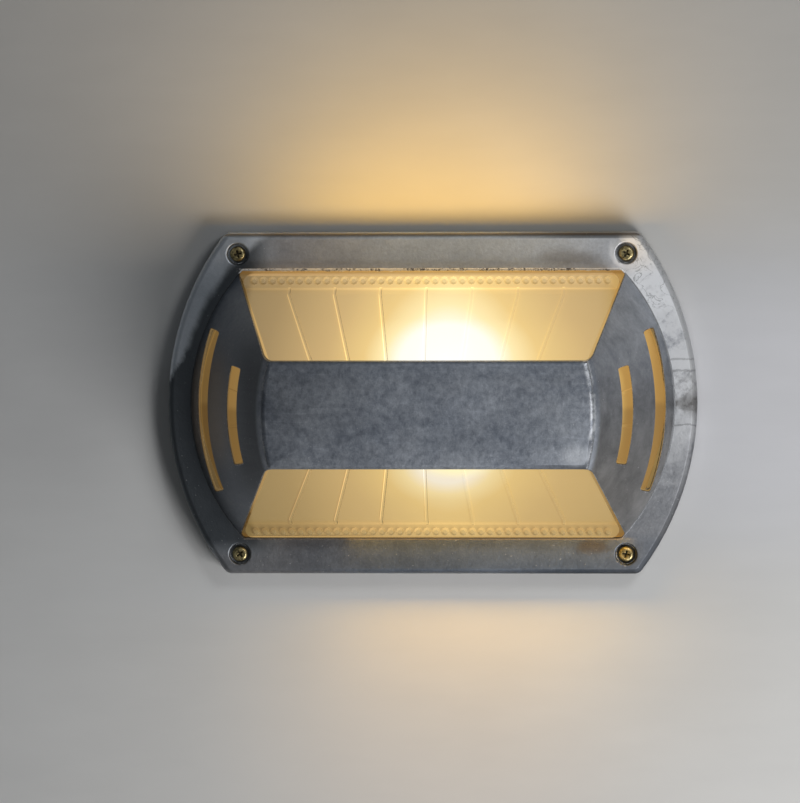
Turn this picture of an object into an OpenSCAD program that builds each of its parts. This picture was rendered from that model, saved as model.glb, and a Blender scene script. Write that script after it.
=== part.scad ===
// Outdoor wall light: a shallow cast base screwed to the wall, a pressed glass tray on a rubber
// gasket, and a cast front cover whose bar and cheeks guard the glass. A lamp lies inside.
// Pieces are drawn lying on their backs: x to the right, y up the wall, z out from the wall.
// on_wall() then stands them up, so that the wall is the plane y = 0 and the front faces -Y.

/* [Rim of the front cover] */
// Width of the light, end to end
overall_w = 260; // [250:1:290]
// Height of the light, edge to edge
overall_h = 168; // [164:1:190]
// Radius of the arc at each end
end_r = 138; // [125:1:160]
// Radius of the four corners
corner_r = 5; // [3:0.5:7]
// Width of the rim along the long edges
rim_w = 18.4; // [17.6:0.2:20]
// Width of the rim at the middle of each end
rim_end_w = 11.5; // [10:0.5:13]
// Distance from the wall to the rim's face
rim_z = 14; // [13:0.5:17]
// Thickness of the rim's plate
rim_t = 4; // [3:0.5:5]
// Radius of the rim's outer edge
rim_round = 3; // [1.5:0.5:4]
// Wall of the skirt behind the rim
skirt_t = 3.2; // [2.4:0.2:4]
// Gap between the skirt and the wall
skirt_gap = 1.5; // [0.5:0.5:3]

/* [Bar and cheeks] */
// Length of the bar over its rounded ends
bar_l = 160; // [150:1:166]
// Height of the bar's face
bar_h = 51.4; // [48:0.2:58]
// Radius of the bar's ends
bar_end_r = 96; // [80:1:110]
// Thickness of the bar
bar_t = 3.5; // [2.5:0.5:4.5]
// How far the bar's face swells in the middle
bar_crown = 0.5; // [0.2:0.1:1.5]
// Radius of the line where rim and cheek meet
cheek_r = 97; // [92:1:102]
// Wall of a cheek, measured level
cheek_t = 3.5; // [2.5:0.5:4]
// Radius of the bar's edges
bar_round = 3; // [1.5:0.5:4]
// Radius of a window's corners beside the rim
window_outer_r = 2; // [1:0.5:5]
// Radius of a window's corners beside the bar
window_inner_r = 5; // [2:0.5:8]
// How far a window cuts into the edge of a cheek beside the bar
window_bite = 0.8; // [0.4:0.2:2]
// How far a window cuts into the edge of a cheek beside the rim
window_foot_bite = 2.2; // [0.4:0.2:3]

/* [Slots in the cheeks] */
// Width of a slot
slot_w = 5.2; // [3:0.2:7]
// From the light's end to the outer slot's middle line
outer_slot_in = 18.6; // [17:0.2:21]
// Length of the outer slot
outer_slot_l = 79; // [50:1:84]
// From the light's end to the inner slot's middle line
inner_slot_in = 34.8; // [31:0.2:37]
// Length of the inner slot
inner_slot_l = 47; // [30:1:50]
// How far the slots sit below the middle
slot_drop = 2.4; // [0:0.2:3]

/* [Cover screws] */
// Thread diameter
cover_screw_d = 4; // [3.5:0.5:4.5]
// Head diameter
cover_head_d = 7.6; // [7:0.2:8.4]
// Head height
cover_head_h = 2.6; // [2:0.2:2.8]
// Length under the head
cover_screw_l = 8; // [7:0.5:9]
// Diameter of the recess round a head
recess_d = 10.2; // [9.4:0.2:11]
// Depth of the recess
recess_depth = 2.8; // [2.4:0.2:3]
// From the corner of the rim to a screw, along the length
screw_in_x = 6.6; // [6:0.2:8]
// From the long edge to a screw
screw_in_y = 10.2; // [9.6:0.2:11]

/* [Glass] */
// Thickness of the glass
glass_t = 4; // [3:0.5:5]
// Thickness of the glass flange
flange_t = 3; // [2.5:0.5:3.5]
// Width of the flange hidden under the rim
flange_in = 3.4; // [2.6:0.2:3.8]
// Height of the bead bands above the cover's plate
band_up = 15; // [10:1:20]
// Width of the flat band that carries the beads
band_w = 7; // [6:0.5:8]
// Height of the steep foot of the ribs above the band
kink_h = 6.5; // [4:0.5:9]
// How far that foot leans in
kink_lean = 2.5; // [1:0.5:4]
// Width of the low ledge round the ends
ledge_w = 5.5; // [5:0.5:7]
// Height of the end wall above the ledge
wall_h = 14.5; // [10:0.5:18]
// How far the end wall leans in
wall_lean = 5; // [3:0.5:7]
// Length of the glass top
glass_top_l = 152; // [140:1:154]
// Height of the glass top
glass_top_h = 46; // [40:1:47]
// Gap between the glass top and the bar
glass_gap = 2.5; // [2:0.5:5]
// Spacing of the ribs at the foot of the glass
rib_pitch = 22.2; // [18:0.2:28]
// Width of a rib
rib_w = 1.2; // [0.8:0.1:2]
// Height of a rib above the glass
rib_h = 0.7; // [0.4:0.1:1.2]
// Spacing of the beads
bead_pitch = 4.4; // [4.2:0.1:8]
// Diameter of a bead
bead_d = 3.8; // [2.5:0.1:4]
// Height of a bead
bead_h = 2; // [1:0.2:3]
// Thickness of the gasket under the flange
gasket_t = 2; // [1.5:0.5:3]

/* [Base] */
// Thickness of the floor
floor_t = 4; // [3.5:0.5:5]
// Depth of the hollows in the back
back_hollow = 1.5; // [0.5:0.5:2]
// Wall of the base
base_wall = 2.5; // [2:0.5:3]
// Distance between the wall-screw holes along the length
wall_hole_x = 150; // [140:1:156]
// Distance between the wall-screw holes up the wall
wall_hole_y = 88; // [80:1:90]
// Diameter of the wall-screw holes
wall_hole_d = 5.5; // [4.5:0.5:6]
// Diameter of the bosses round the wall-screw holes
wall_boss_d = 13; // [11:0.5:14]
// Cable entry to the right of the middle
cable_x = 42; // [38:1:50]
// Cable entry below the middle
cable_y = -36; // [-40:1:-30]
// Diameter of the cable that the grommet takes
cable_d = 9; // [6:0.5:10]

/* [Lamp] */
// Diameter of the lamp's bulb
lamp_d = 55; // [45:1:60]
// Length of the lamp
lamp_l = 98; // [95:1:108]
// Clearance round the bulb
lamp_gap = 4.5; // [3:0.5:6]

/* [Lampholder] */
// Diameter of the porcelain body
holder_d = 38; // [36:1:42]
// Length of the porcelain body
holder_l = 40; // [38:1:44]
// Thickness of the porcelain behind the socket
holder_back = 12; // [10:0.5:14]
// Thickness of the brass shell
shell_t = 0.6; // [0.4:0.1:1]
// Width of the bracket's upright
bracket_w = 16; // [12:1:17]
// Width of the bracket's foot
foot_w = 26; // [24:1:30]
// Thickness of the bracket
bracket_t = 2; // [1.5:0.5:2.5]
// Length of the bracket's foot
foot_l = 11; // [10:0.5:12]
// Gap between the back of the porcelain body and the slope of the glass
holder_gap = 3.6; // [3:0.2:6]

/* [Terminal block] */
// Distance between poles
pole_pitch = 12; // [11.6:0.2:13]
// Width of one pole
pole_w = 6.6; // [6.2:0.2:7]
// Depth of the block, up the wall
block_w = 16; // [14:1:17]
// Height of the block
block_h = 12; // [11:0.5:13]
// Middle of the block, to the right of the middle
block_x = -22; // [-26:1:-18]
// Diameter of a lead's insulation
lead_d = 2.6; // [2:0.1:2.8]

/* [Clearances] */
// Between the skirt and the base
skirt_clear = 0.5; // [0.3:0.1:1]
// Round the glass flange and the gasket
seat_clear = 0.5; // [0.3:0.1:0.8]
// Between the glass and the inside of the cheeks
glass_clear = 1.2; // [1:0.1:2]
// Round a screw in a clearance hole, on the diameter
hole_clear = 0.5; // [0.3:0.1:1]
// Round a screw in its tapped hole, on the diameter
thread_clear = 0.2; // [0.1:0.1:0.3]

/* [Hidden] */
$fn = 48;

// Steps along half an end arc, and round one corner
arc_steps = 12;
corner_steps = 4;
eps = 0.01;

// Half sizes of the rim and of the opening inside it
rim_a = overall_w / 2;
rim_b = overall_h / 2;
open_a = rim_a - rim_end_w;
open_b = rim_b - rim_w;
end_cx = rim_a - end_r;

// Levels from the wall outwards
plate_z = rim_z - rim_t;
flange_z = plate_z - flange_t;
seat_z = flange_z - gasket_t;
lamp_z = floor_t + lamp_gap + lamp_d / 2;
glass_in_z = lamp_z + lamp_d / 2 + lamp_gap;
glass_z = glass_in_z + glass_t;
bar_under_z = glass_z + glass_gap;
bar_z = bar_under_z + bar_t;

// Bar
bar_a = bar_l / 2;
bar_b = bar_h / 2;
crown_in = 20;
bar_tip_x = bar_a - bar_end_r + sqrt(pow(bar_end_r, 2) - pow(bar_b, 2));
foot_tip_x = open_a - cheek_r + sqrt(pow(cheek_r, 2) - pow(open_b, 2));
window_bar_x = bar_tip_x + window_bite;
window_foot_x = foot_tip_x + window_foot_bite;
window_side = (window_foot_x - window_bar_x) / (open_b - bar_b);

// Glass
glass_a = open_a - cheek_t - glass_clear;
glass_b = open_b - glass_clear;
glass_r = cheek_r - cheek_t - glass_clear;
glass_corner = 4;
ledge_z = plate_z + 1.2;
wall_a = glass_a - ledge_w;
wall_b = glass_b - ledge_w;
wall_r = glass_r - ledge_w;
band_z = plate_z + band_up;
bulge_b = glass_b - 0.1;
band_b = glass_b - band_w;
kink_z = band_z + kink_h;
kink_b = band_b - kink_lean;
bead_b = glass_b - 3.1;
bead_end = 3;
rib_end = 20;
rib_closing = 0.21;
bulge_lap = 2;
bulge_corner = 3.6;
top_a = glass_top_l / 2;
top_b = glass_top_h / 2;
top_r = 90;
top_edge = 2.6;
rib_shift = -2.1;
flange_a = open_a + flange_in;
flange_b = open_b + flange_in;
flange_r = cheek_r + flange_in;
flange_corner = 6;
gasket_w = 8;

// Screws
cover_seat_z = rim_z - recess_depth;
boss_meet_z = plate_z - 2;
cover_boss_d = 9.4;
base_boss_d = 9;
corner_x = end_cx + sqrt(pow(end_r, 2) - pow(rim_b, 2));
cover_screw_x = corner_x - screw_in_x;
cover_screw_y = rim_b - screw_in_y;

// Base
base_in = skirt_t + skirt_clear;
base_top_z = boss_meet_z;
back_rim_w = 9;
seat_wall = 2;

// Lands across the back that lie on the wall, and the low ribs inside along the floor
land_w = 14;
cross_land_w = 7;
cross_land_pitch = 56;
floor_rib_x = 14;
floor_rib_l = 152;
floor_rib_y = 17;
floor_rib_w = 2;
floor_rib_h = 1;

// Bosses: diameters, and how far they stand above the floor
foot_boss_d = 9;
block_boss_d = 8;
earth_boss_d = 10;
cable_boss_wall = 8;
cable_boss_d = cable_d + 2 * cable_boss_wall;
wall_boss_h = 3;
foot_boss_h = 3;
block_boss_h = 2;
cable_boss_h = 1.2;

// Free depth under the tip of each screw in a tapped hole
tip_clear = 0.8;

// Cable grommet
grommet_neck_d = cable_d + 7;
grommet_flange_d = grommet_neck_d + 5;
grommet_flange_t = 2;
grommet_lip = 2;
grommet_back_z = 0.2;

// Inside of the glass: where its steep wall ends and where its top begins
slope_foot_z = ledge_z + wall_h - 2;
slope_top_z = glass_in_z - 3;
slope_foot_x = wall_a - wall_lean - glass_t;
slope_top_x = top_a - glass_t;

// Lamp and lampholder
cap_r = 13;
cap_l = 25;
tip_r = 4.5;
tip_h = 1.4;
insulator_r = 10.5;
insulator_h = 3.5;
neck_r = 14.5;
neck_clear = 1;
tip_gap = 2;
holder_slope = (lamp_z + holder_d / 2 - slope_foot_z) / (slope_top_z - slope_foot_z);
holder_x = holder_gap - slope_foot_x + (slope_foot_x - slope_top_x) * holder_slope;
lamp_tip_x = holder_x + holder_back + tip_gap;
shell_r = cap_r + 0.4;
shell_end = holder_back + tip_gap + cap_l - 3;
shell_seat_r = shell_r + shell_t + 0.3;
shell_hole_r = 9;
holder_terminal_y = 14;
small_head_d = 5.6;
small_head_h = 2.2;
small_screw_d = 3;
small_screw_l = 6;
foot_z = floor_t + foot_boss_h;
foot_screw_l = 6;
foot_screw_in = 5;
foot_screw_pitch = foot_w - 2 * foot_screw_in;
foot_screw_x = holder_x - bracket_t - foot_l / 2;
bracket_screw_z = 11;
terminal_t = 1;
terminal_w = 6;
terminal_l = 11;

// Terminal block and earth point
block_z = floor_t + block_boss_h;
block_in = 24.6;
block_y = block_in - open_b;
block_l = 3 * pole_pitch + 2;
fixing_head_d = pole_pitch - pole_w - 0.4;
tube_z = block_z + 6.4;
tube_d = 5;
tube_bore = 3;
web_h = 6;
web_w = block_w - 4;
block_screw_in = 3;
tube_screw_d = 2.6;
tube_screw_l = 3.6;
earth_apart = 32;
earth_x = block_x + earth_apart;
earth_y = block_y - 2;
earth_boss_h = 4;
earth_z = floor_t + earth_boss_h;
earth_screw_l = 6.5;
tag_t = 0.8;
tag_d = 8.4;
tag_barrel_y = 5.5;
tag_barrel_l = 4;
washer_t = 0.8;
washer_d = 8;

// Stands a piece up against the wall
module on_wall() {
    rotate([90, 0, 0]) children();
}

function unit(v) = v / norm(v);

// Points of an outline with straight long edges and arc ends.
// a and b are its half sizes, er the radius of its ends and cr that of its corners.
function arc_rect(a, b, er, cr) =
    let (
        cx = a - er,
        fy = b - cr,
        fx = cx + sqrt(pow(er - cr, 2) - pow(fy, 2)),
        t = atan2(fy, fx - cx),
        q = concat(
            [for (i = [0:arc_steps]) let (u = t * i / arc_steps) [cx + er * cos(u), er * sin(u)]],
            [for (i = [1:corner_steps]) let (u = t + (90 - t) * i / corner_steps)
                [fx + cr * cos(u), fy + cr * sin(u)]]
        ),
        n = len(q) - 1
    )
    concat(
        q,
        [for (i = [n:-1:1]) [-q[i].x, q[i].y]],
        [for (i = [0:n]) [-q[i].x, -q[i].y]],
        [for (i = [n:-1:1]) [q[i].x, -q[i].y]]
    );

// The same outline as a plate, d inside the one given, from z up over height h
module arc_plate(a, b, er, cr, d, z, h) {
    translate([0, 0, z])
        linear_extrude(h)
            polygon(arc_rect(a - d, b - d, er - d, max(cr - d, 0.8)));
}

module rim_plate(d, z, h) {
    arc_plate(rim_a, rim_b, end_r, corner_r, d, z, h);
}

// Replaces corner b of the corner a-b-c by an arc of radius r
function fillet(a, b, c, r, n = 5) =
    let (
        u = unit(a - b),
        v = unit(c - b),
        half = acos(u * v) / 2,
        centre = b + unit(u + v) * r / sin(half),
        s = b + u * r / tan(half) - centre,
        e = b + v * r / tan(half) - centre
    )
    [for (i = [0:n]) centre + unit(s * (n - i) + e * i) * r];

// A polygon with each corner p[i] rounded to radius r[i]
function rounded(p, r) =
    let (n = len(p))
    [for (i = [0:n - 1]) each fillet(p[(i + n - 1) % n], p[i], p[(i + 1) % n], r[i])];

// Places a child at each of the four cover screws
module at_cover_screws() {
    for (sx = [-1, 1], sy = [-1, 1])
        translate([sx * cover_screw_x, sy * cover_screw_y, 0]) children();
}

// Front cover

// Outside of the bar and the cheeks, as one solid
module dome_outside() {
    hull() {
        arc_plate(open_a, open_b + 0.6, cheek_r, 1.5, 0, plate_z + 1, rim_t - 1);
        arc_plate(bar_a, bar_b + 0.4, bar_end_r, 1.5, 0, bar_z - bar_round, eps);
        arc_plate(bar_a, bar_b + 0.4, bar_end_r, 1.5, bar_round * 0.3, bar_z - bar_round * 0.3, eps);
        arc_plate(bar_a, bar_b + 0.4, bar_end_r, 1.5, bar_round, bar_z, eps);
        arc_plate(bar_a - crown_in, bar_b * 0.5, bar_end_r, 1.5, 0, bar_z + bar_crown, eps);
    }
}

// The hollow behind the bar and the cheeks, open towards the glass
module dome_inside() {
    hull() {
        arc_plate(open_a, open_b + cheek_t - 0.6, cheek_r, 1.5, cheek_t, plate_z - 2, 2);
        arc_plate(bar_a, bar_b, bar_end_r, 1.5, cheek_t, bar_under_z - eps, eps);
    }
}

// Window above the bar, as a plan outline
function window() =
    rounded(
        [[-window_foot_x, open_b], [window_foot_x, open_b],
         [window_bar_x, bar_b], [-window_bar_x, bar_b]],
        [window_outer_r, window_outer_r, window_inner_r, window_inner_r]
    );

// One slot in the right cheek, following the arc of the light's end
module slot(inset, length) {
    r = end_r - inset;
    half = asin(length / 2 / r);
    drop = asin(slot_drop / r);
    translate([end_cx, 0, plate_z + 1.5])
        rotate([0, 0, -half - drop])
            rotate_extrude(angle = 2 * half)
                translate([r - slot_w / 2, 0])
                    square([slot_w, bar_z]);
}

module front_cover() {
    color("#8b8e92")
    on_wall()
    difference() {
        union() {
            difference() {
                union() {
                    hull() {
                        rim_plate(0, skirt_gap, eps);
                        rim_plate(0.3, rim_z - rim_round, eps);
                        rim_plate(0.3 + rim_round * 0.13, rim_z - rim_round * 0.5, eps);
                        rim_plate(0.3 + rim_round * 0.5, rim_z - rim_round * 0.13, eps);
                        rim_plate(0.3 + rim_round, rim_z - eps, eps);
                    }
                    dome_outside();
                }
                rim_plate(skirt_t, 0, plate_z);
                dome_inside();
            }
            at_cover_screws()
                translate([0, 0, boss_meet_z])
                    cylinder(d = cover_boss_d, h = rim_t);
        }
        for (m = [0, 1])
            mirror([0, m, 0])
                linear_extrude(bar_z + bar_crown + 1)
                    polygon(window());
        for (m = [0, 1])
            mirror([m, 0, 0]) {
                slot(outer_slot_in, outer_slot_l);
                slot(inner_slot_in, inner_slot_l);
            }
        at_cover_screws() {
            translate([0, 0, cover_seat_z]) cylinder(d = recess_d, h = rim_z);
            cylinder(d = cover_screw_d + hole_clear, h = rim_z);
        }
    }
}

// Pan head with a cross recess and a plain shank; the head's underside is at z = 0
module pan_screw(d, head_d, head_h, length) {
    difference() {
        union() {
            rotate_extrude()
                polygon(concat(
                    [[0, 0], [head_d / 2, 0]],
                    [for (i = [0:6]) let (u = i * 15)
                        [head_d / 2 - head_h * 0.45 * (1 - cos(u)) - head_d * 0.28 * sin(u) * i / 6,
                         head_h * 0.35 + head_h * 0.65 * sin(u)]],
                    [[0, head_h]]
                ));
            translate([0, 0, -length]) cylinder(d = d, h = length + eps);
        }
        for (turn = [45, 135])
            rotate([0, 0, turn])
                translate([-head_d * 0.27, -head_d * 0.065, head_h * 0.45])
                    cube([head_d * 0.54, head_d * 0.13, head_h]);
    }
}

module cover_screw(sx, sy) {
    color("#c9b458")
    on_wall()
        translate([sx * cover_screw_x, sy * cover_screw_y, cover_seat_z])
            pan_screw(cover_screw_d, cover_head_d, cover_head_h, cover_screw_l);
}

// Glass

// Sections of the glass from its ledge to its top: level, half sizes, end radius, corner radius
outside = [
    [plate_z - eps, glass_a, glass_b, glass_r, glass_corner],
    [ledge_z - 0.4, glass_a, glass_b, glass_r, glass_corner],
    [ledge_z, glass_a - 0.5, glass_b - 0.5, glass_r - 0.5, glass_corner],
    [ledge_z, wall_a, wall_b, wall_r, glass_corner],
    [ledge_z + wall_h * 0.75, wall_a - wall_lean * 0.6, wall_b - wall_lean * 0.6, wall_r, glass_corner],
    [ledge_z + wall_h, wall_a - wall_lean, wall_b - wall_lean, wall_r, glass_corner],
    [glass_z - top_edge, top_a + top_edge * 0.5, top_b + top_edge * 0.4, top_r, glass_corner],
    [glass_z - top_edge * 0.3, top_a - top_edge * 0.2, top_b - top_edge * 0.3, top_r, glass_corner],
    [glass_z, top_a - top_edge, top_b - top_edge, top_r, glass_corner]
];
inside = [
    [flange_z - 1, wall_a - glass_t * 0.6, wall_b - glass_t * 0.6, wall_r - glass_t, 3],
    [ledge_z, wall_a - glass_t, wall_b - glass_t, wall_r - glass_t, 3],
    [slope_foot_z, slope_foot_x, wall_b - wall_lean - glass_t, wall_r - glass_t, 3],
    [slope_top_z, slope_top_x, top_b - glass_t, top_r - glass_t, 3],
    [glass_in_z, top_a - glass_t - 3, top_b - glass_t - 3, top_r - glass_t, 3]
];

// Skin over sections of equal point count, closed by the first and the last
module loft(sections) {
    rings = [for (s = sections) [for (p = arc_rect(s[1], s[2], s[3], s[4])) [p.x, p.y, s[0]]]];
    n = len(rings[0]);
    m = len(rings);
    polyhedron(
        points = [for (r = rings) each r],
        faces = concat(
            [[for (i = [0:n - 1]) i]],
            [for (k = [0:m - 2], i = [0:n - 1])
                [k * n + i, (k + 1) * n + i, (k + 1) * n + (i + 1) % n, k * n + (i + 1) % n]],
            [[for (i = [n - 1:-1:0]) (m - 1) * n + i]]
        )
    );
}

// Where the bulge through a window ends beside the cheek, at the distance y from the middle
function bulge_x(y, d = 0) =
    window_bar_x + (y - bar_b) * window_side - (glass_clear + d) * norm([1, window_side]);

// The bulge through one window: a bar with the profile given, d inside the window's sides
module bulge(profile, d) {
    b = profile[0].x;
    low = -bulge_lap;
    intersection() {
        rotate([90, 0, 90])
            linear_extrude(2 * bulge_x(b, d) + 2, center = true)
                polygon(concat([[low, profile[0].y]], profile, [[low, profile[len(profile) - 1].y]]));
        linear_extrude(glass_z)
            polygon(rounded(
                [for (p = [[1, low - 1], [1, b], [-1, b], [-1, low - 1]]) [p.x * bulge_x(p.y, d), p.y]],
                [1, bulge_corner, bulge_corner, 1]
            ));
    }
}

// Profiles of the bulges across the light, from the foot to the top: distance from the middle, level
bulge_outside = [
    [bulge_b, plate_z - 1], [bulge_b, band_z - 0.5], [bulge_b - 0.5, band_z], [band_b, band_z],
    [kink_b, kink_z], [top_b + top_edge * 0.4 - 0.3, glass_z - top_edge - 0.3]
];
bulge_inside = [
    [bulge_b - glass_t, flange_z - 2], [bulge_b - glass_t, band_z - glass_t],
    [band_b - glass_t * 0.75, band_z - glass_t], [kink_b - glass_t, kink_z - glass_t / 2],
    [top_b - glass_t - 1, slope_top_z - 1]
];

// One straight stretch of rib between two points of the surface
module rib_stretch(p, q) {
    hull() {
        for (c = [p, q])
            translate(c) cube([rib_w, rib_w, 2 * rib_h], center = true);
    }
}

// Ribs of the long sides rise straight from the band and close in above the kink
module long_rib(x0) {
    path = [
        bulge_outside[3], bulge_outside[4], bulge_outside[5],
        [top_b - top_edge * 0.3, glass_z - top_edge * 0.3], [top_b - top_edge, glass_z]
    ];
    for (k = [0:3]) {
        s = path[k];
        e = path[k + 1];
        u = 1 - rib_closing * max(s.y - kink_z, 0) / (glass_z - kink_z);
        v = 1 - rib_closing * max(e.y - kink_z, 0) / (glass_z - kink_z);
        rib_stretch([x0 * u, s.x, s.y], [x0 * v, e.x, e.y]);
    }
}

// Ribs of the ends climb the outside from section 3 up
module end_rib(y0) {
    for (k = [3:6]) {
        s = outside[k];
        e = outside[k + 1];
        ys = y0 * s[2] / wall_b;
        ye = y0 * e[2] / wall_b;
        rib_stretch(
            [s[1] - s[3] + sqrt(pow(s[3], 2) - pow(ys, 2)), ys, s[0]],
            [e[1] - e[3] + sqrt(pow(e[3], 2) - pow(ye, 2)), ye, e[0]]
        );
    }
}

module bead() {
    hull() {
        cylinder(d = bead_d, h = 1, $fn = 8);
        cylinder(d = bead_d * 0.55, h = bead_h + 0.6, $fn = 8);
    }
}

module glass_diffuser() {
    ribs = floor((bulge_x(kink_b) - rib_end) / rib_pitch);
    end_ribs = floor((wall_b - 8) / rib_pitch);
    beads = floor((bulge_x(bead_b) - bead_end) / bead_pitch);
    color("#e0b45a", 0.8)
    on_wall()
    difference() {
        union() {
            arc_plate(flange_a, flange_b, flange_r, flange_corner, 0, flange_z, flange_t);
            loft(outside);
            for (m = [0, 1])
                mirror([0, m, 0]) {
                    bulge(bulge_outside, 0);
                    for (i = [-ribs:ribs]) long_rib(i * rib_pitch + rib_shift);
                    for (i = [-beads:beads - 1])
                        translate([(i + 0.5) * bead_pitch, bead_b, band_z - 0.6]) bead();
                }
            for (m = [0, 1])
                mirror([m, 0, 0])
                    for (i = [-end_ribs:end_ribs - 1]) end_rib((i + 0.5) * rib_pitch);
        }
        loft(inside);
        for (m = [0, 1])
            mirror([0, m, 0]) bulge(bulge_inside, glass_t);
    }
}

module glass_gasket() {
    color("#2b2b2b")
    on_wall()
    difference() {
        arc_plate(flange_a, flange_b, flange_r, flange_corner, 0, seat_z, gasket_t);
        arc_plate(flange_a, flange_b, flange_r, flange_corner, gasket_w, seat_z - 1, gasket_t + 2);
    }
}

// Base

// Plan of the seat that takes gasket and flange, grown by d
module seat_plate(d, z, h) {
    arc_plate(flange_a, flange_b, flange_r, flange_corner, -d, z, h);
}

module at_wall_holes() {
    for (sx = [-1, 1], sy = [-1, 1])
        translate([sx * wall_hole_x / 2, sy * wall_hole_y / 2, 0]) children();
}

module at_foot_screws() {
    for (i = [0, 1])
        translate([foot_screw_x, (i - 0.5) * foot_screw_pitch, 0]) children();
}

module at_block_screws() {
    for (i = [-1, 1])
        translate([block_x + i * pole_pitch / 2, block_y, 0]) children();
}

// Hollows in the back, between the lands that lie on the wall
module back_hollows() {
    difference() {
        rim_plate(base_in + back_rim_w, -eps, back_hollow + eps);
        translate([-rim_a, -land_w / 2, -1]) cube([overall_w, land_w, back_hollow + 2]);
        for (sx = [-1, 0, 1])
            translate([sx * cross_land_pitch - cross_land_w / 2, -rim_b, -1])
                cube([cross_land_w, overall_h, back_hollow + 2]);
        at_wall_holes() translate([0, 0, -1]) cylinder(d = wall_boss_d + 5, h = back_hollow + 2);
        translate([cable_x, cable_y, -1]) cylinder(d = cable_boss_d + 3, h = back_hollow + 2);
    }
}

// Hole for a screw whose tip ends at the level tip_z, open towards the front
module tapped_hole(d, tip_z) {
    translate([0, 0, tip_z - tip_clear]) cylinder(d = d + thread_clear, h = rim_z);
}

module base_housing() {
    color("#9a9c9e")
    on_wall()
    difference() {
        union() {
            rim_plate(base_in, 0, floor_t);
            // Outer wall
            difference() {
                rim_plate(base_in, 0, base_top_z);
                rim_plate(base_in + base_wall, floor_t, base_top_z);
            }
            // Seat for the gasket, and the wall round it
            difference() {
                seat_plate(seat_clear + seat_wall, 0, base_top_z);
                seat_plate(seat_clear, seat_z, base_top_z);
                seat_plate(-gasket_w, floor_t, base_top_z);
            }
            at_cover_screws() cylinder(d = base_boss_d, h = boss_meet_z);
            at_wall_holes() cylinder(d = wall_boss_d, h = floor_t + wall_boss_h);
            at_foot_screws() cylinder(d = foot_boss_d, h = foot_z);
            at_block_screws() cylinder(d = block_boss_d, h = block_z);
            translate([earth_x, earth_y, 0]) cylinder(d = earth_boss_d, h = earth_z);
            translate([cable_x, cable_y, 0]) cylinder(d = cable_boss_d, h = floor_t + cable_boss_h);
            for (sy = [-1, 1])
                translate([floor_rib_x - floor_rib_l / 2, sy * floor_rib_y - floor_rib_w / 2, 0])
                    cube([floor_rib_l, floor_rib_w, floor_t + floor_rib_h]);
        }
        back_hollows();
        at_cover_screws() tapped_hole(cover_screw_d, cover_seat_z - cover_screw_l);
        at_wall_holes() translate([0, 0, -1]) cylinder(d = wall_hole_d, h = floor_t + wall_boss_h + 2);
        at_foot_screws() tapped_hole(cover_screw_d, foot_z + bracket_t - foot_screw_l);
        at_block_screws() tapped_hole(small_screw_d, block_z - block_screw_in);
        translate([earth_x, earth_y, 0])
            tapped_hole(cover_screw_d, earth_z + tag_t + washer_t - earth_screw_l);
        translate([cable_x, cable_y, -1]) cylinder(d = grommet_neck_d, h = floor_t + cable_boss_h + 2);
        translate([cable_x, cable_y, -1])
            cylinder(d = grommet_flange_d + 1, h = 1 + grommet_back_z + grommet_flange_t);
    }
}

module cable_grommet() {
    low = grommet_back_z;
    neck = low + grommet_flange_t;
    high = floor_t + cable_boss_h;
    color("#262626")
    on_wall()
        translate([cable_x, cable_y, 0])
            rotate_extrude()
                polygon([
                    [cable_d / 2, low], [grommet_flange_d / 2, low], [grommet_flange_d / 2, neck],
                    [grommet_neck_d / 2, neck], [grommet_neck_d / 2, high],
                    [grommet_neck_d / 2 + grommet_lip, high],
                    [cable_d / 2 + grommet_lip, high + grommet_flange_t],
                    [cable_d / 2, high + grommet_flange_t]
                ]);
}

// Lamp and lampholder: drawn along their axis from the lampholder's back, then laid along x
module on_lamp_axis(x) {
    on_wall()
        translate([x, 0, lamp_z])
            rotate([0, 90, 0])
                children();
}

module lamp_bulb() {
    r = lamp_d / 2;
    neck_z = cap_l + 3;
    join_z = lamp_l - r - r * 0.72;
    join_r = sqrt(pow(r, 2) - pow(r * 0.72, 2));
    color("#fff4d8")
    on_lamp_axis(lamp_tip_x)
        rotate_extrude()
            polygon(concat(
                [[0, 0], [tip_r, 0], [tip_r, tip_h], [insulator_r, insulator_h]],
                [[cap_r - 0.7, insulator_h + 1]],
                [for (i = [0:20]) [cap_r - 0.4 - 0.4 * cos(i * 90), 5 + i * (cap_l - 6) / 20]],
                [[cap_r, cap_l], [neck_r, neck_z]],
                [for (i = [1:5]) let (u = i / 6)
                    [neck_r + (join_r - neck_r) * u * u, neck_z + (join_z - neck_z) * u]],
                [for (i = [0:16]) let (t = 180 - acos(0.72) + (acos(0.72) - 180) * i / 16)
                    [i == 16 ? 0 : r * sin(t), lamp_l - r + r * cos(t)]]
            ));
}

module lampholder_body() {
    r = holder_d / 2;
    color("#f3efe6")
    on_lamp_axis(holder_x)
    difference() {
        rotate_extrude()
            polygon([
                [0, 0], [r - 1, 0], [r, 1], [r, holder_back - 1], [r - 1.5, holder_back + 1],
                [r - 1.5, holder_l - 5], [r - 0.5, holder_l - 3.5], [r - 0.5, holder_l - 1],
                [r - 1.5, holder_l], [neck_r + neck_clear, holder_l],
                [neck_r + neck_clear, shell_end + 1], [shell_seat_r, shell_end],
                [shell_seat_r, holder_back], [0, holder_back]
            ]);
        // Blind holes for the bracket's screws and the terminal screws
        for (s = [-1, 1]) {
            translate([s * bracket_screw_z, 0, -1]) cylinder(d = small_screw_d + thread_clear, h = 8);
            translate([0, s * holder_terminal_y, -1]) cylinder(d = small_screw_d + thread_clear, h = 8);
        }
    }
}

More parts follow.
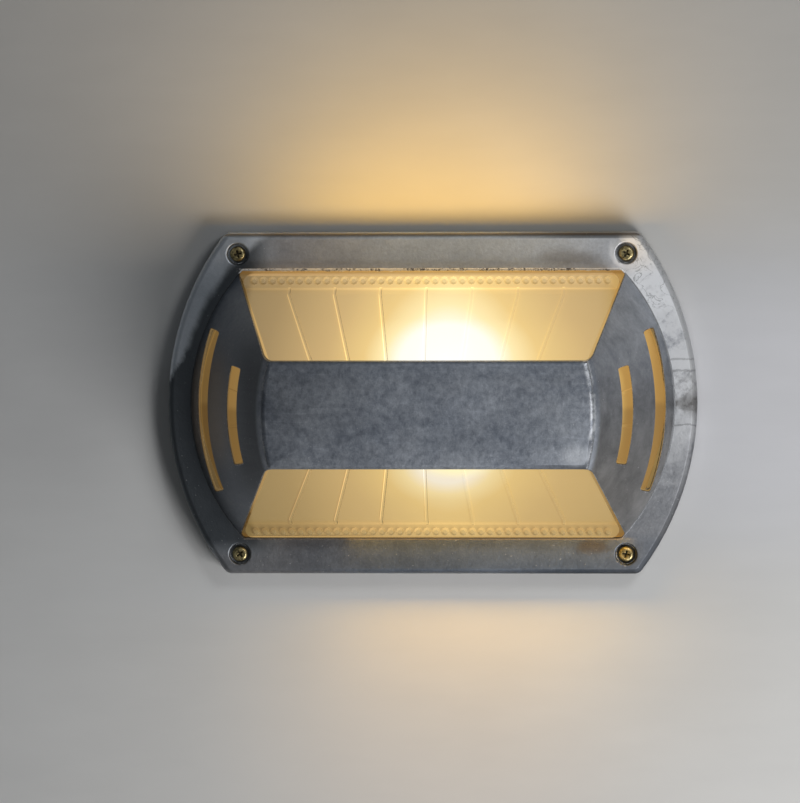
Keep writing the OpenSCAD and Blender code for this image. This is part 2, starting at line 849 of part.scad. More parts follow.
module lampholder_shell() {
    low = holder_back;
    color("#c9a44c")
    on_lamp_axis(holder_x)
        rotate_extrude()
            polygon([
                [shell_hole_r, low], [shell_r + shell_t, low], [shell_r + shell_t, shell_end],
                [shell_r, shell_end], [shell_r, low + shell_t], [shell_hole_r, low + shell_t]
            ]);
}

// Spring strip that touches the lamp's tip
module lampholder_contact() {
    t = 0.6;
    color("#b97a3e")
    on_lamp_axis(holder_x)
        translate([-3, 0, holder_back])
            rotate([90, 0, 90])
                linear_extrude(6)
                    polygon([
                        [-8, 0], [8, 0], [8, t], [6, t], [3.5, tip_gap], [-3.5, tip_gap],
                        [-3.5, tip_gap - t], [3.2, tip_gap - t], [5.4, t], [-8, t]
                    ]);
}

// Bent strip: its foot is screwed to the base and its upright to the lampholder's back
module lampholder_bracket() {
    top_z = lamp_z + holder_d / 2 - 3;
    profile = rounded(
        [
            [holder_x, foot_z], [holder_x, top_z], [holder_x - bracket_t, top_z],
            [holder_x - bracket_t, foot_z + bracket_t],
            [holder_x - foot_l - bracket_t, foot_z + bracket_t], [holder_x - foot_l - bracket_t, foot_z]
        ],
        [bracket_t + 1, 0.3, 0.3, 1, 0.3, 0.3]
    );
    color("#b9b7ae")
    on_wall()
    difference() {
        union() {
            translate([0, bracket_w / 2, 0])
                rotate([90, 0, 0])
                    linear_extrude(bracket_w)
                        polygon(profile);
            translate([holder_x - bracket_t - foot_l, -foot_w / 2, foot_z])
                cube([foot_l - 1, foot_w, bracket_t]);
        }
        at_foot_screws() translate([0, 0, foot_z - 1]) cylinder(d = cover_screw_d + hole_clear, h = 5);
        for (s = [-1, 1])
            translate([holder_x - bracket_t - 1, 0, lamp_z + s * bracket_screw_z])
                rotate([0, 90, 0])
                    cylinder(d = small_screw_d + hole_clear, h = bracket_t + 2);
    }
}

module bracket_foot_screws() {
    color("#c9c9c4")
    on_wall()
        at_foot_screws()
            translate([0, 0, foot_z + bracket_t])
                pan_screw(cover_screw_d, cover_head_d, cover_head_h, foot_screw_l);
}

module bracket_head_screws() {
    color("#c9c9c4")
    on_wall()
        for (s = [-1, 1])
            translate([holder_x - bracket_t, 0, lamp_z + s * bracket_screw_z])
                rotate([0, -90, 0])
                    pan_screw(small_screw_d, small_head_d, small_head_h, small_screw_l + bracket_t - 1);
}

module holder_terminal(side) {
    color("#c9a44c")
    on_wall()
    difference() {
        translate([holder_x - terminal_t, side * holder_terminal_y - terminal_w / 2, lamp_z - 7])
            cube([terminal_t, terminal_w, terminal_l]);
        translate([holder_x - 2, side * holder_terminal_y, lamp_z])
            rotate([0, 90, 0])
                cylinder(d = small_screw_d + hole_clear, h = 3);
    }
}

module holder_terminal_screws() {
    color("#c9c9c4")
    on_wall()
        for (s = [-1, 1])
            translate([holder_x - terminal_t, s * holder_terminal_y, lamp_z])
                rotate([0, -90, 0])
                    pan_screw(small_screw_d, small_head_d, small_head_h, small_screw_l);
}

// Terminal block: three poles joined by low webs that take the fixing screws
module terminal_block() {
    color("#e9e4d2")
    on_wall()
    difference() {
        union() {
            translate([block_x - block_l / 2, block_y - web_w / 2, block_z])
                cube([block_l, web_w, web_h]);
            for (i = [-1:1])
                translate([block_x + i * pole_pitch - pole_w / 2, block_y - block_w / 2, block_z])
                    cube([pole_w, block_w, block_h]);
        }
        for (i = [-1:1])
            translate([block_x + i * pole_pitch, block_y, 0]) {
                translate([0, block_w / 2 + 1, tube_z])
                    rotate([90, 0, 0])
                        cylinder(d = tube_d + 0.4, h = block_w + 2);
                for (s = [-1, 1])
                    translate([0, s * block_w / 4, tube_z]) cylinder(d = 3.8, h = block_h);
            }
        at_block_screws()
            translate([0, 0, block_z - 1]) cylinder(d = small_screw_d + hole_clear, h = block_h);
    }
}

module terminal_tube(i) {
    color("#d0b060")
    on_wall()
        translate([block_x + i * pole_pitch, block_y, tube_z])
            difference() {
                translate([0, web_w / 2, 0])
                    rotate([90, 0, 0])
                        cylinder(d = tube_d, h = web_w);
                translate([0, block_w / 2, 0])
                    rotate([90, 0, 0])
                        cylinder(d = tube_bore, h = block_w);
                for (s = [-1, 1])
                    translate([0, s * block_w / 4, 0])
                        cylinder(d = tube_screw_d + thread_clear, h = tube_d);
            }
}

module terminal_screws() {
    color("#c9c9c4")
    on_wall()
        for (i = [-1:1], s = [-1, 1])
            translate([block_x + i * pole_pitch, block_y + s * block_w / 4, tube_z + 1.6])
                difference() {
                    cylinder(d = tube_screw_d, h = tube_screw_l);
                    translate([-2, -0.3, tube_screw_l - 0.8]) cube([4, 0.6, 2]);
                }
}

module terminal_fixing_screws() {
    color("#c9c9c4")
    on_wall()
        at_block_screws()
            translate([0, 0, block_z + web_h])
                pan_screw(small_screw_d, fixing_head_d, 2, web_h + block_screw_in);
}

// Leads: a round tube swept along points, with a smooth curve between them
function curve(p, k, t) =
    let (
        a = p[max(k - 1, 0)],
        b = p[k],
        c = p[k + 1],
        d = p[min(k + 2, len(p) - 1)]
    )
    0.5 * (2 * b + (c - a) * t + (2 * a - 5 * b + 4 * c - d) * t * t
        + (3 * b - a - 3 * c + d) * t * t * t);

function smooth(p, steps) = concat(
    [for (k = [0:len(p) - 2], i = [0:steps - 1]) curve(p, k, i / steps)],
    [p[len(p) - 1]]
);

function directions(p) =
    [for (i = [0:len(p) - 1]) unit(p[min(i + 1, len(p) - 1)] - p[max(i - 1, 0)])];

function sideways(dirs, v, i = 0) =
    i >= len(dirs) ? [] :
    let (n = unit(v - (v * dirs[i]) * dirs[i]))
    concat([n], sideways(dirs, n, i + 1));

module swept_tube(route, d) {
    sides = 8;
    path = smooth(route, 4);
    dirs = directions(path);
    normals = sideways(dirs, [1, 0.2, 0.1]);
    m = len(path);
    polyhedron(
        points = [for (i = [0:m - 1], k = [0:sides - 1])
            let (w = cross(dirs[i], normals[i]), u = k * 360 / sides)
            path[i] + (normals[i] * cos(u) + w * sin(u)) * d / 2],
        faces = concat(
            [[for (k = [0:sides - 1]) k]],
            [for (i = [0:m - 2], k = [0:sides - 1])
                [i * sides + k, (i + 1) * sides + k,
                 (i + 1) * sides + (k + 1) % sides, i * sides + (k + 1) % sides]],
            [[for (k = [sides - 1:-1:0]) (m - 1) * sides + k]]
        )
    );
}

// Where a lead leaves the terminal block, how far it runs straight, and its level on the floor
lead_y = block_y + block_w / 2 - 1.8;
lead_z = floor_t + 3;
lead_start = 5;
lead_drop = 8;
terminal_x = holder_x - terminal_t - lead_d / 2 - 0.3;
terminal_z = lamp_z - small_head_d / 2 - 0.3;

function pole_exit(i) = [
    [block_x + i * pole_pitch, lead_y, tube_z],
    [block_x + i * pole_pitch, lead_y + lead_start, tube_z]
];

function holder_entry(side) = [
    [terminal_x - lead_drop / 2, side * (holder_terminal_y + lead_start), lead_z + lead_drop * 0.7],
    [terminal_x - lead_drop / 2, side * holder_terminal_y, lamp_z - lead_drop * 1.7],
    [terminal_x, side * holder_terminal_y, lamp_z - lead_drop],
    [terminal_x, side * holder_terminal_y, terminal_z]
];

module live_lead() {
    color("#8a4b2a")
    on_wall()
        swept_tube(concat(
            pole_exit(-1),
            [
                [block_x - pole_pitch - lead_start, block_y / 2 - lead_drop / 2, lead_z + lead_drop / 4],
                [block_x - 3 * pole_pitch, block_y / 2, lead_z]
            ],
            holder_entry(-1)
        ), lead_d);
}

module neutral_lead() {
    color("#2f5fa8")
    on_wall()
        swept_tube(concat(
            pole_exit(0),
            [
                [block_x - lead_drop, block_y / 2, lead_z + 1],
                [block_x - lead_start * 4, -lead_start, lead_z],
                [block_x - 3 * pole_pitch, -block_y / 3, lead_z]
            ],
            holder_entry(1)
        ), lead_d);
}

module earth_lead() {
    color("#5b9a3b")
    on_wall()
        swept_tube(concat(
            pole_exit(1),
            [
                [block_x + pole_pitch + lead_start, lead_y + lead_drop, tube_z],
                [earth_x - 2, earth_y + lead_start * 4, earth_z + 3],
                [earth_x, earth_y + tag_barrel_y + tag_barrel_l * 2, earth_z + tag_t + 1],
                [earth_x, earth_y + tag_barrel_y + tag_barrel_l, earth_z + tag_t + 1],
                [earth_x, earth_y + tag_barrel_y + 1, earth_z + tag_t + 1]
            ]
        ), lead_d);
}

// Ring tag crimped on the earth lead
module earth_tag() {
    color("#cfcfc8")
    on_wall()
        translate([earth_x, earth_y, earth_z])
            difference() {
                union() {
                    cylinder(d = tag_d, h = tag_t);
                    translate([-1.6, 0, 0]) cube([3.2, tag_barrel_y + 0.5, tag_t]);
                    translate([0, tag_barrel_y + tag_barrel_l, tag_t + 1])
                        rotate([90, 0, 0])
                            cylinder(d = lead_d + 1.2, h = tag_barrel_l);
                }
                translate([0, 0, -1]) cylinder(d = cover_screw_d + hole_clear, h = 4);
                translate([0, tag_barrel_y + tag_barrel_l + 0.5, tag_t + 1])
                    rotate([90, 0, 0])
                        cylinder(d = lead_d + 0.2, h = tag_barrel_l - 0.4);
            }
}

module earth_washer() {
    color("#cfcfc8")
    on_wall()
        translate([earth_x, earth_y, earth_z + tag_t])
            difference() {
                cylinder(d = washer_d, h = washer_t);
                translate([0, 0, -1]) cylinder(d = cover_screw_d + hole_clear, h = 3);
            }
}

module earth_screw() {
    color("#c9c9c4")
    on_wall()
        translate([earth_x, earth_y, earth_z + tag_t + washer_t])
            pan_screw(cover_screw_d, cover_head_d, cover_head_h, earth_screw_l);
}

base_housing();
glass_gasket();
glass_diffuser();
front_cover();
cover_screw(-1, 1);  // cover_screw_top_left
cover_screw(1, 1);  // cover_screw_top_right
cover_screw(-1, -1);  // cover_screw_bottom_left
cover_screw(1, -1);  // cover_screw_bottom_right
lampholder_body();
lampholder_shell();
lampholder_contact();
lampholder_bracket();
bracket_foot_screws();
bracket_head_screws();
holder_terminal(-1);  // holder_terminal_live
holder_terminal(1);  // holder_terminal_neutral
holder_terminal_screws();
lamp_bulb();
terminal_block();
terminal_tube(-1);  // terminal_tube_live
terminal_tube(0);  // terminal_tube_neutral
terminal_tube(1);  // terminal_tube_earth
terminal_screws();
terminal_fixing_screws();
live_lead();
neutral_lead();
earth_lead();
earth_tag();
earth_washer();
earth_screw();
cable_grommet();
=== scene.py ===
# %% [markdown]
# # Outdoor wall light
# The light is a cast aluminium guard over a ribbed, frosted glass tray, on a shallow cast base.
# The CAD model fixes where everything is. This lesson gives each piece its finish, remakes the
# pieces whose edges catch the light, and sets up the wall, the lamps and the camera.
# X runs to the right along the wall, Z up it, and the front of the light faces -Y.

# %% Load the frame
import math

import bpy
from mathutils import Matrix, Quaternion, Vector


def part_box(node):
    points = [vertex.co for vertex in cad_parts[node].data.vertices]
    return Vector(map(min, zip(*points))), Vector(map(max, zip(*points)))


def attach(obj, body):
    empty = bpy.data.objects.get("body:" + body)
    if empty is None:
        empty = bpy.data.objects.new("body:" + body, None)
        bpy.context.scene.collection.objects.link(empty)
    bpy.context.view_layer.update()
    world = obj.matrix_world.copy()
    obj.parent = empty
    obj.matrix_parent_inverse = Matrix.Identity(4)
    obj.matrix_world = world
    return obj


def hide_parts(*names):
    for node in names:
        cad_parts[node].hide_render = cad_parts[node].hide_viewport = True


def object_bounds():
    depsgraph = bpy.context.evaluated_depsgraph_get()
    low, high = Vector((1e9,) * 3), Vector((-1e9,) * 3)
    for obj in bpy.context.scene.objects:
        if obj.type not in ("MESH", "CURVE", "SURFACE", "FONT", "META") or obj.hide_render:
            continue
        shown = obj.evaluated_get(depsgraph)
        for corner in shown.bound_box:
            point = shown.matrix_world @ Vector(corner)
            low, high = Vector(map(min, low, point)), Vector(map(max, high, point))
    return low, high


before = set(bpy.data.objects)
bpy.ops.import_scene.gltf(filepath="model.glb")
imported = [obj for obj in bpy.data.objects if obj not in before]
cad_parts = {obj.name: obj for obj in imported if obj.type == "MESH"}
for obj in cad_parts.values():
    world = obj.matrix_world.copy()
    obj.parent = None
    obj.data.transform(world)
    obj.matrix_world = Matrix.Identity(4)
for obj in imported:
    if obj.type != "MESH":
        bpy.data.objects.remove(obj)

CAD_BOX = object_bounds()
MM = 0.001
print("CAD nodes:", len(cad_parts))

# %% [markdown]
# ## Camera
# The photograph is taken from a little above and a little to the right, with a long lens, so the
# ends of the light hardly taper. A camera can be dragged about until the picture fits, but two
# angles round the light and a distance are easier to match one by one, so it is placed from
# those. It stands 2 m from the face of the rim, and it is held a quarter of a degree off level.

# %% Camera
CAMERA_TURN = math.radians(2.47)
CAMERA_RISE = math.radians(4.79)
CAMERA_TILT = math.radians(0.25)
CAMERA_AWAY = 2.0
CAMERA_LENS = 183.15
CAMERA_SENSOR = 36
CAMERA_REACH = 30
CAMERA_AIM = Vector((-0.01569, -0.014, 0.00143))

backwards = Vector((
    math.sin(CAMERA_TURN) * math.cos(CAMERA_RISE),
    -math.cos(CAMERA_TURN) * math.cos(CAMERA_RISE),
    math.sin(CAMERA_RISE),
))
level = backwards.to_track_quat("Z", "Y")
bpy.ops.object.camera_add(location=CAMERA_AIM + backwards * CAMERA_AWAY)
camera = bpy.context.object
camera.name = "photo_camera"
camera.rotation_euler = (level @ Quaternion((0, 0, 1), -CAMERA_TILT)).to_euler()
camera.data.lens = CAMERA_LENS
camera.data.sensor_width = CAMERA_SENSOR
camera.data.clip_end = CAMERA_REACH
bpy.context.scene.camera = camera
print("camera at", [round(v, 3) for v in camera.location])

# %% [markdown]
# ## A small language for shaders
# A finish can be wired up node by node, but a sum is shorter and can be read aloud. So a finish is
# worked out with sums on masks and noises. A Wire holds one socket and turns Python's + - * / into
# Math nodes. A Finish is one material, and its node method adds any node there is.

# %% Wires and finishes
class Wire:
    """One output socket of a finish, usable in sums."""

    def __init__(self, finish, socket):
        self.finish = finish
        self.socket = socket

    def sum(self, operation, first, second):
        return self.finish.node("Math", {"operation": operation}, {0: first, 1: second})

    def __add__(self, other):
        return self.sum("ADD", self, other)

    def __radd__(self, other):
        return self.sum("ADD", other, self)

    def __sub__(self, other):
        return self.sum("SUBTRACT", self, other)

    def __rsub__(self, other):
        return self.sum("SUBTRACT", other, self)

    def __mul__(self, other):
        return self.sum("MULTIPLY", self, other)

    def __rmul__(self, other):
        return self.sum("MULTIPLY", other, self)

    def __truediv__(self, other):
        return self.sum("DIVIDE", self, other)

    def __rtruediv__(self, other):
        return self.sum("DIVIDE", other, self)

    def __pow__(self, other):
        return self.sum("POWER", self, other)

    def __abs__(self):
        return self.sum("ABSOLUTE", self, 0)

    def at_least(self, least):
        return self.sum("MAXIMUM", self, least)

    def wave(self):
        return self.sum("SINE", self, 0)


class Finish:
    """A material whose nodes are added by the methods below."""

    def __init__(self, name):
        self.material = bpy.data.materials.new(name)
        self.material.use_nodes = True
        self.tree = self.material.node_tree
        self.shader = self.tree.nodes["Principled BSDF"]
        self.place = self.node("TexCoord", out="Object")

    def node(self, kind, settings=None, values=None, out=0):
        """Adds a node, sets it up, fills its sockets and returns one of its outputs."""
        made = self.tree.nodes.new("ShaderNode" + kind)
        for key, value in (settings or {}).items():
            if key == "stops":
                self.set_stops(made.color_ramp, value)
            else:
                setattr(made, key, value)
        for key, value in (values or {}).items():
            self.fill(made.inputs[key], value)
        return Wire(self, made.outputs[out])

    def set_stops(self, ramp, stops):
        while len(ramp.elements) < len(stops):
            ramp.elements.new(0.5)
        for element, (position, colour) in zip(ramp.elements, stops):
            element.position = position
            element.color = (*colour, 1)

    def fill(self, socket, value):
        if isinstance(value, Wire):
            self.tree.links.new(value.socket, socket)
        elif hasattr(value, "__len__") and len(value) == 3 and socket.type == "RGBA":
            socket.default_value = (*value, 1)
        else:
            socket.default_value = value

    def set(self, **values):
        """Fills sockets of the shader: base_color for Base Color, and so on."""
        for key, value in values.items():
            name = " ".join(word.capitalize() for word in key.split("_")).replace("Ior", "IOR")
            self.fill(self.shader.inputs[name], value)

    def noise(self, size_mm, detail=3, rough=0.55, stretch=(1, 1, 1), shift=0, warp=0):
        """Cloudy noise from 0 to 1 whose lumps are about size_mm across."""
        moved = self.node("Mapping", None, {
            "Vector": self.place, "Location": (shift, shift * 0.7, -shift), "Scale": stretch})
        return self.node("TexNoise", None, {
            "Vector": moved, "Scale": 1000 / size_mm, "Detail": detail, "Roughness": rough,
            "Distortion": warp})

    def step(self, value, low, high):
        """0 below low, 1 above high, and a soft ramp between them. low may be the higher one."""
        turned = low > high
        a, b = (high, low) if turned else (low, high)
        return self.node("MapRange", {"interpolation_type": "SMOOTHSTEP"},
                         {"Value": value, "From Min": a, "From Max": b,
                          "To Min": float(turned), "To Max": float(not turned)})

    def mix(self, first, second, factor, blend="MIX"):
        """Colour first where factor is 0 and colour second where it is 1."""
        return self.node("Mix", {"data_type": "RGBA", "blend_type": blend},
                         {"Factor": factor, 6: first, 7: second}, out=2)

    def tint(self, colour, amount):
        """A colour times a number."""
        return self.node("VectorMath", {"operation": "SCALE"}, {0: colour, "Scale": amount})

    def veins(self, size_mm, width, shift=0):
        """1 along thin wandering lines and 0 between them."""
        field = self.noise(size_mm, 4, 0.55, shift=shift, warp=1.2)
        return self.step(abs(field - 0.5), width, width * 0.2)

    def bump(self, height, depth_mm):
        return self.node("Bump", None, {
            "Height": height, "Distance": depth_mm * MM, "Strength": 1.0})

    def split(self, vector):
        parts = self.node("SeparateXYZ", None, {"Vector": vector}).socket.node
        return [Wire(self, parts.outputs[i]) for i in range(3)]

    def axes_mm(self):
        """Distances to the right, out from the wall and up, in millimetres."""
        right, deep, up = self.split(self.place)
        return right * 1000, deep * -1000, up * 1000

    def distance(self, across, along):
        return (across * across + along * along) ** 0.5

    def note(self, layer):
        """Prints how far the finish has grown."""
        print(self.material.name, "with", layer, "has", len(self.tree.nodes), "nodes")


print("shader language ready")

# %% [markdown]
# ## Stage
# The light hangs on a pale plastered wall. Only the face of the wall is ever seen, so one plane
# just behind the base is enough, and a bump does for its grain. The plaster is a little mottled,
# with fine trowel marks that run sideways. Light and shade are painted on it too: it is paler
# towards the bottom, paler and bluer on the right, darker on the left, and warm where the lamp's
# glow falls below and above the light.

# %% Plaster
PLASTER_LOW = (0.72, 0.718, 0.705)
PLASTER_HIGH = (0.54, 0.535, 0.52)
# half the height in millimetres over which the plaster turns from low to high, as painted light
# that is paler towards the bottom
PLASTER_FADE = 220
# where each pool of painted light or painted shade lies across and up in millimetres, how far it
# reaches, its colour and its share
PLASTER_PAINTED_LIGHT = (
    (165, 0, 110, (0.80, 0.80, 0.86), 0.45),
    (-190, 10, 90, (0.50, 0.50, 0.50), 0.45),
    (0, -165, 130, (0.90, 0.80, 0.70), 0.35),
    (15, 105, 140, (0.62, 0.55, 0.42), 0.3),
)

plaster = Finish("stage_plaster")
right, out, up = plaster.axes_mm()
paint = plaster.mix(PLASTER_LOW, PLASTER_HIGH, plaster.step(up, -PLASTER_FADE, PLASTER_FADE))
# painted pools: light on the right, shade on the left, warm glow below and above
for x, z, reach, colour, share in PLASTER_PAINTED_LIGHT:
    painted_pool = plaster.step(plaster.distance(right - x, up - z), reach, reach * 0.2)
    paint = plaster.mix(paint, colour, painted_pool * share)
mottle = plaster.noise(220, 3) * 0.7 + plaster.noise(16, 4, stretch=(0.3, 1, 1)) * 0.3
plaster.set(
    base_color=plaster.tint(paint, 0.96 + plaster.step(mottle, 0.3, 0.7) * 0.08),
    roughness=0.8,
    normal=plaster.bump(plaster.noise(34, 4, stretch=(0.5, 1, 1)), 0.12),
)
plaster.note("clouds and grain")

# %% [markdown]
# From behind, the wall would hide the back of the light and keep it in the dark. So it is
# see-through from behind, and also to rays that have come less than a millimetre: they start on
# the ribs of the base's back, which lie against it. The hollows between the ribs stay dark.

# %% See-through from behind
BASE_RAY = 0.001

seen_from_behind = plaster.node("NewGeometry", out="Backfacing")
from_the_base = plaster.step(plaster.node("LightPath", out="Ray Length"), BASE_RAY * 1.02, BASE_RAY)
sheet = plaster.node("MixShader", None, {
    0: seen_from_behind.at_least(from_the_base),
    1: Wire(plaster, plaster.shader.outputs[0]),
    2: plaster.node("BsdfTransparent"),
})
plaster.fill(plaster.tree.nodes["Material Output"].inputs["Surface"], sheet)
plaster.note("its clear back")

# %% [markdown]
# Both get names that start with stage.

# %% Wall and floor
WALL_FROM_BASE = 0.0008
WALL_SIZE = 5
FLOOR_SIZE = 8
FLOOR_Z = -1.3


def deselect():
    if bpy.context.object and bpy.context.object.mode != "OBJECT":
        bpy.ops.object.mode_set(mode="OBJECT")
    bpy.ops.object.select_all(action="DESELECT")


def stage_plane(name, finish, size, place, tilt_degrees=0):
    deselect()
    bpy.ops.mesh.primitive_plane_add(
        size=size, location=place, rotation=(math.radians(tilt_degrees), 0, 0))
    plane = bpy.context.object
    plane.name = name
    bpy.ops.object.transform_apply()
    plane.data.materials.append(finish.material)
    return plane


wall = stage_plane("stage_wall", plaster, WALL_SIZE, (0, WALL_FROM_BASE, 0), 90)
screed = Finish("stage_floor")
screed.set(base_color=(0.62, 0.61, 0.59), roughness=0.8)
floor = stage_plane("stage_floor", screed, FLOOR_SIZE, (0, 0, FLOOR_Z))
print("stage:", wall.name, floor.name)

# %% [markdown]
# ## Studio light
# The photograph's light comes from the lower right, so the left cheek is dark and the rim throws
# a soft shadow up and to the left. Area lamps are used, because their size sets how soft a shadow
# is. A weak one high in front gives the metal its sheen. The glowing glass is too weak to light
# the wall as the real lamp does, so two small warm lamps lie at the outer edges of the windows and
# stand for the light that spills out of them. They can't be seen themselves, and nor can the lamp
# behind the wall, which lights only the back of the light.

# %% Lamps
GLOW_COLOUR = (1.0, 0.58, 0.06)
GLOW_UP = 0.0655
GLOW_L = 0.14
# how far a glow lamp leans to the wall for each metre along it
GLOW_LEAN = 0.05


def softbox(name, place, size, power, colour=(1, 1, 1), aim_at=(0, 0, 0)):
    bpy.ops.object.light_add(type="AREA", location=place)
    lamp = bpy.context.object
    lamp.name = name
    lamp.data.shape = "DISK"
    lamp.data.size = size
    lamp.data.energy = power
    lamp.data.color = colour
    lamp.rotation_euler = (Vector(place) - Vector(aim_at)).to_track_quat("Z", "Y").to_euler()
    return lamp


def window_glow(name, side, along, out, depth, power):
    """A strip of light at a window's edge, facing up (side 1) or down (side -1) the wall."""
    place = Vector((along, -out, GLOW_UP * side))
    lamp = softbox(name, place, GLOW_L, power, GLOW_COLOUR, place + Vector((0, GLOW_LEAN, side)))
    lamp.data.shape = "RECTANGLE"
    lamp.data.size_y = depth
    lamp.visible_camera = False
    lamp.visible_glossy = False


softbox("lamp_key", place=(0.66, -0.68, -0.56), size=0.6, power=7.4, colour=(0.99, 0.99, 1.0))
softbox("lamp_sheen", place=(0.38, -0.75, 0.42), size=0.26, power=1.3, colour=(0.96, 0.98, 1.0))
softbox("lamp_behind", place=(0.25, 1.2, 0.35), size=0.5, power=9).visible_camera = False
window_glow("glow_above", side=1, along=0.003, out=0.055, depth=0.05, power=0.157)
window_glow("glow_below", side=-1, along=0.028, out=0.022, depth=0.014, power=0.095)

# %% Room and view
ROOM_COLOUR = (0.86, 0.93, 1.0, 1)
ROOM_STRENGTH = 0.085

world = bpy.data.worlds.new("plain_room")
world.use_nodes = True
background = world.node_tree.nodes["Background"]
background.inputs["Color"].default_value = ROOM_COLOUR
background.inputs["Strength"].default_value = ROOM_STRENGTH
bpy.context.scene.world = world
bpy.context.scene.view_settings.view_transform = "Standard"
print("room light:", ROOM_STRENGTH)

# %% [markdown]
# ## Joining up a CAD mesh
# A CAD node comes as loose triangles. Bevelling those would round every seam between them, so a
# copy is merged and its flat faces are made whole again, while the CAD's own mesh stays untouched.
# Its sharp edges are then rounded, so that they catch the light. The normals are weighted by
# area, so that a flat face stays flat right up to its rounded edge.

# %% Helpers for pieces
MERGE_MM = 0.002
SLIVER_MM = 0.01
FLAT_DEGREES = 0.4
AREA_WEIGHT = 80


def activate(piece):
    deselect()
    piece.select_set(True)
    bpy.context.view_layer.objects.active = piece


def edit_all():
    """Goes into edit mode with all of the active piece selected."""
    bpy.ops.object.mode_set(mode="EDIT")
    bpy.ops.mesh.select_all(action="SELECT")


def merged_copy(node, name):
    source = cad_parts[node]
    piece = bpy.data.objects.new(name, source.data.copy())
    bpy.context.scene.collection.objects.link(piece)
    piece.data.materials.clear()
    activate(piece)
    if piece.data.has_custom_normals:
        bpy.ops.mesh.customdata_custom_splitnormals_clear()
    edit_all()
    bpy.ops.mesh.remove_doubles(threshold=MERGE_MM * MM)
    bpy.ops.mesh.dissolve_limited(angle_limit=math.radians(FLAT_DEGREES))
    bpy.ops.object.mode_set(mode="OBJECT")
    return piece


def apply_modifier(piece, kind, **settings):
    activate(piece)
    modifier = piece.modifiers.new(kind.lower(), kind)
    for key, value in settings.items():
        setattr(modifier, key, value)
    bpy.ops.object.modifier_apply(modifier=modifier.name)


def smooth(piece, over_degrees=38):
    activate(piece)
    bpy.ops.object.shade_smooth_by_angle(angle=math.radians(over_degrees))
    apply_modifier(piece, "WEIGHTED_NORMAL", keep_sharp=True, weight=AREA_WEIGHT)


def round_edges(piece, width_mm, over_degrees, edge_slot=0):
    """Rounds the sharp edges, and gives their new faces the material in edge_slot."""
    apply_modifier(piece, "BEVEL", width=width_mm * MM, segments=2, limit_method="ANGLE",
                   angle_limit=math.radians(over_degrees), material=edge_slot,
                   use_clamp_overlap=False)
    edit_all()
    bpy.ops.mesh.dissolve_degenerate(threshold=SLIVER_MM * MM)
    bpy.ops.object.mode_set(mode="OBJECT")
    smooth(piece)


def give(piece, slot, *finishes):
    for finish in finishes:
        piece.data.materials.append(finish.material)
    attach(piece, "root")
    print(piece.name, "faces:", len(piece.data.polygons))


print("helpers for pieces ready")

# %% [markdown]
# An operator in edit mode acts on what is selected. With no mouse to click with, faces and edges
# are picked by a test on where their corners lie.

# %% Picking faces and edges
def pick(piece, kind, wanted, over_degrees=None):
    """Goes into edit mode with only those faces or edges selected whose corners pass the test.

    With over_degrees only sharp edges count."""
    activate(piece)
    bpy.ops.object.mode_set(mode="EDIT")
    bpy.ops.mesh.select_mode(type=kind)
    bpy.ops.mesh.select_all(action="DESELECT" if over_degrees else "SELECT")
    if over_degrees:
        bpy.ops.mesh.edges_select_sharp(sharpness=math.radians(over_degrees))
    bpy.ops.object.mode_set(mode="OBJECT")
    mesh = piece.data
    items = mesh.polygons if kind == "FACE" else mesh.edges
    chosen = [i for i in items if i.select and wanted([mesh.vertices[v].co for v in i.vertices])]
    for every in (mesh.vertices, mesh.edges, mesh.polygons):
        every.foreach_set("select", [False] * len(every))
    for item in chosen:
        item.select = True
    bpy.ops.object.mode_set(mode="EDIT")
    print(piece.name, "picked", len(chosen))


print("picking ready")

# %% [markdown]
# ## Raw cast aluminium
# The guard is left as it came from the die: blue-grey, blotched where the metal chilled, with a
# fine grain. It could be painted on an unwrapped mesh, but the paint wouldn't follow a change of
# the CAD model. So one finish is built up in layers, and masks made of distances in millimetres
# say where each layer lies: the rim, the bar, the two cheeks and the four screws.

# %% Masks of the guard
# the faces of the rim and of the bar, out from the wall, and the rim's top
RIM_OUT = 14.0
BAR_OUT = round(-CAD_BOX[0][1] / MM, 1)
RIM_TOP = CAD_BOX[1][2] / MM
# the arcs of the cheeks' foot and of the bar's ends: radius, and centre along the light
FOOT_R = 97
FOOT_CENTRE = 21.5
BAR_END_R = 96
BAR_CENTRE = 16
# the windows' long edge up from the middle, and their corners along from it
WINDOW_EDGE = 65.6
WINDOW_END = 96
# the screws' recesses
RECESS_R = 5.1
screw_low, screw_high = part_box("cover_screw_top_right")
SCREW_X = (screw_low[0] + screw_high[0]) / 2 / MM
SCREW_UP = (screw_low[2] + screw_high[2]) / 2 / MM


def past_foot(finish, right, up):
    """Distance outwards from the arc of the cheeks' foot."""
    return finish.distance(abs(right) - FOOT_CENTRE, up) - FOOT_R


cast = Finish("cast_cover")
right, out, up = cast.axes_mm()
on_rim = cast.step(out, RIM_OUT + 0.7, RIM_OUT + 0.2)
on_bar = cast.step(out, BAR_OUT - 7.5, BAR_OUT - 3.5)
on_cheek = (1 - on_rim) * (1 - on_bar)
right_side = cast.step(right, 20, 75)
left_side = cast.step(right, -20, -75)
from_screw = cast.distance(abs(right) - SCREW_X, abs(up) - SCREW_UP)
from_foot = past_foot(cast, right, up)
cast.note("masks")

# %% [markdown]
# The metal chilled against the die in patches of every size, so a single noise is too even for
# it. Four are lumps, from clouds down to grain. Three are drawn out sideways, the way the metal
# ran: streaks, sweeps and fine scratches.

# %% Noises of the guard
cloud = cast.noise(48, 5, 0.6, shift=3)
patch = cast.noise(13, 6, 0.65, shift=7, warp=0.6)
speckle = cast.noise(3.2, 4, 0.7, shift=15)
grain = cast.noise(1.3, 3, 0.65)
streak = cast.noise(9, 5, 0.7, stretch=(0.18, 1, 1), shift=11)
sweep = cast.noise(34, 4, 0.6, stretch=(0.35, 1, 1), shift=17, warp=0.8)
scratch = cast.step(cast.noise(1.6, 3, 0.6, stretch=(0.07, 1, 1), shift=23), 0.62, 0.70)
cast.note("noises")

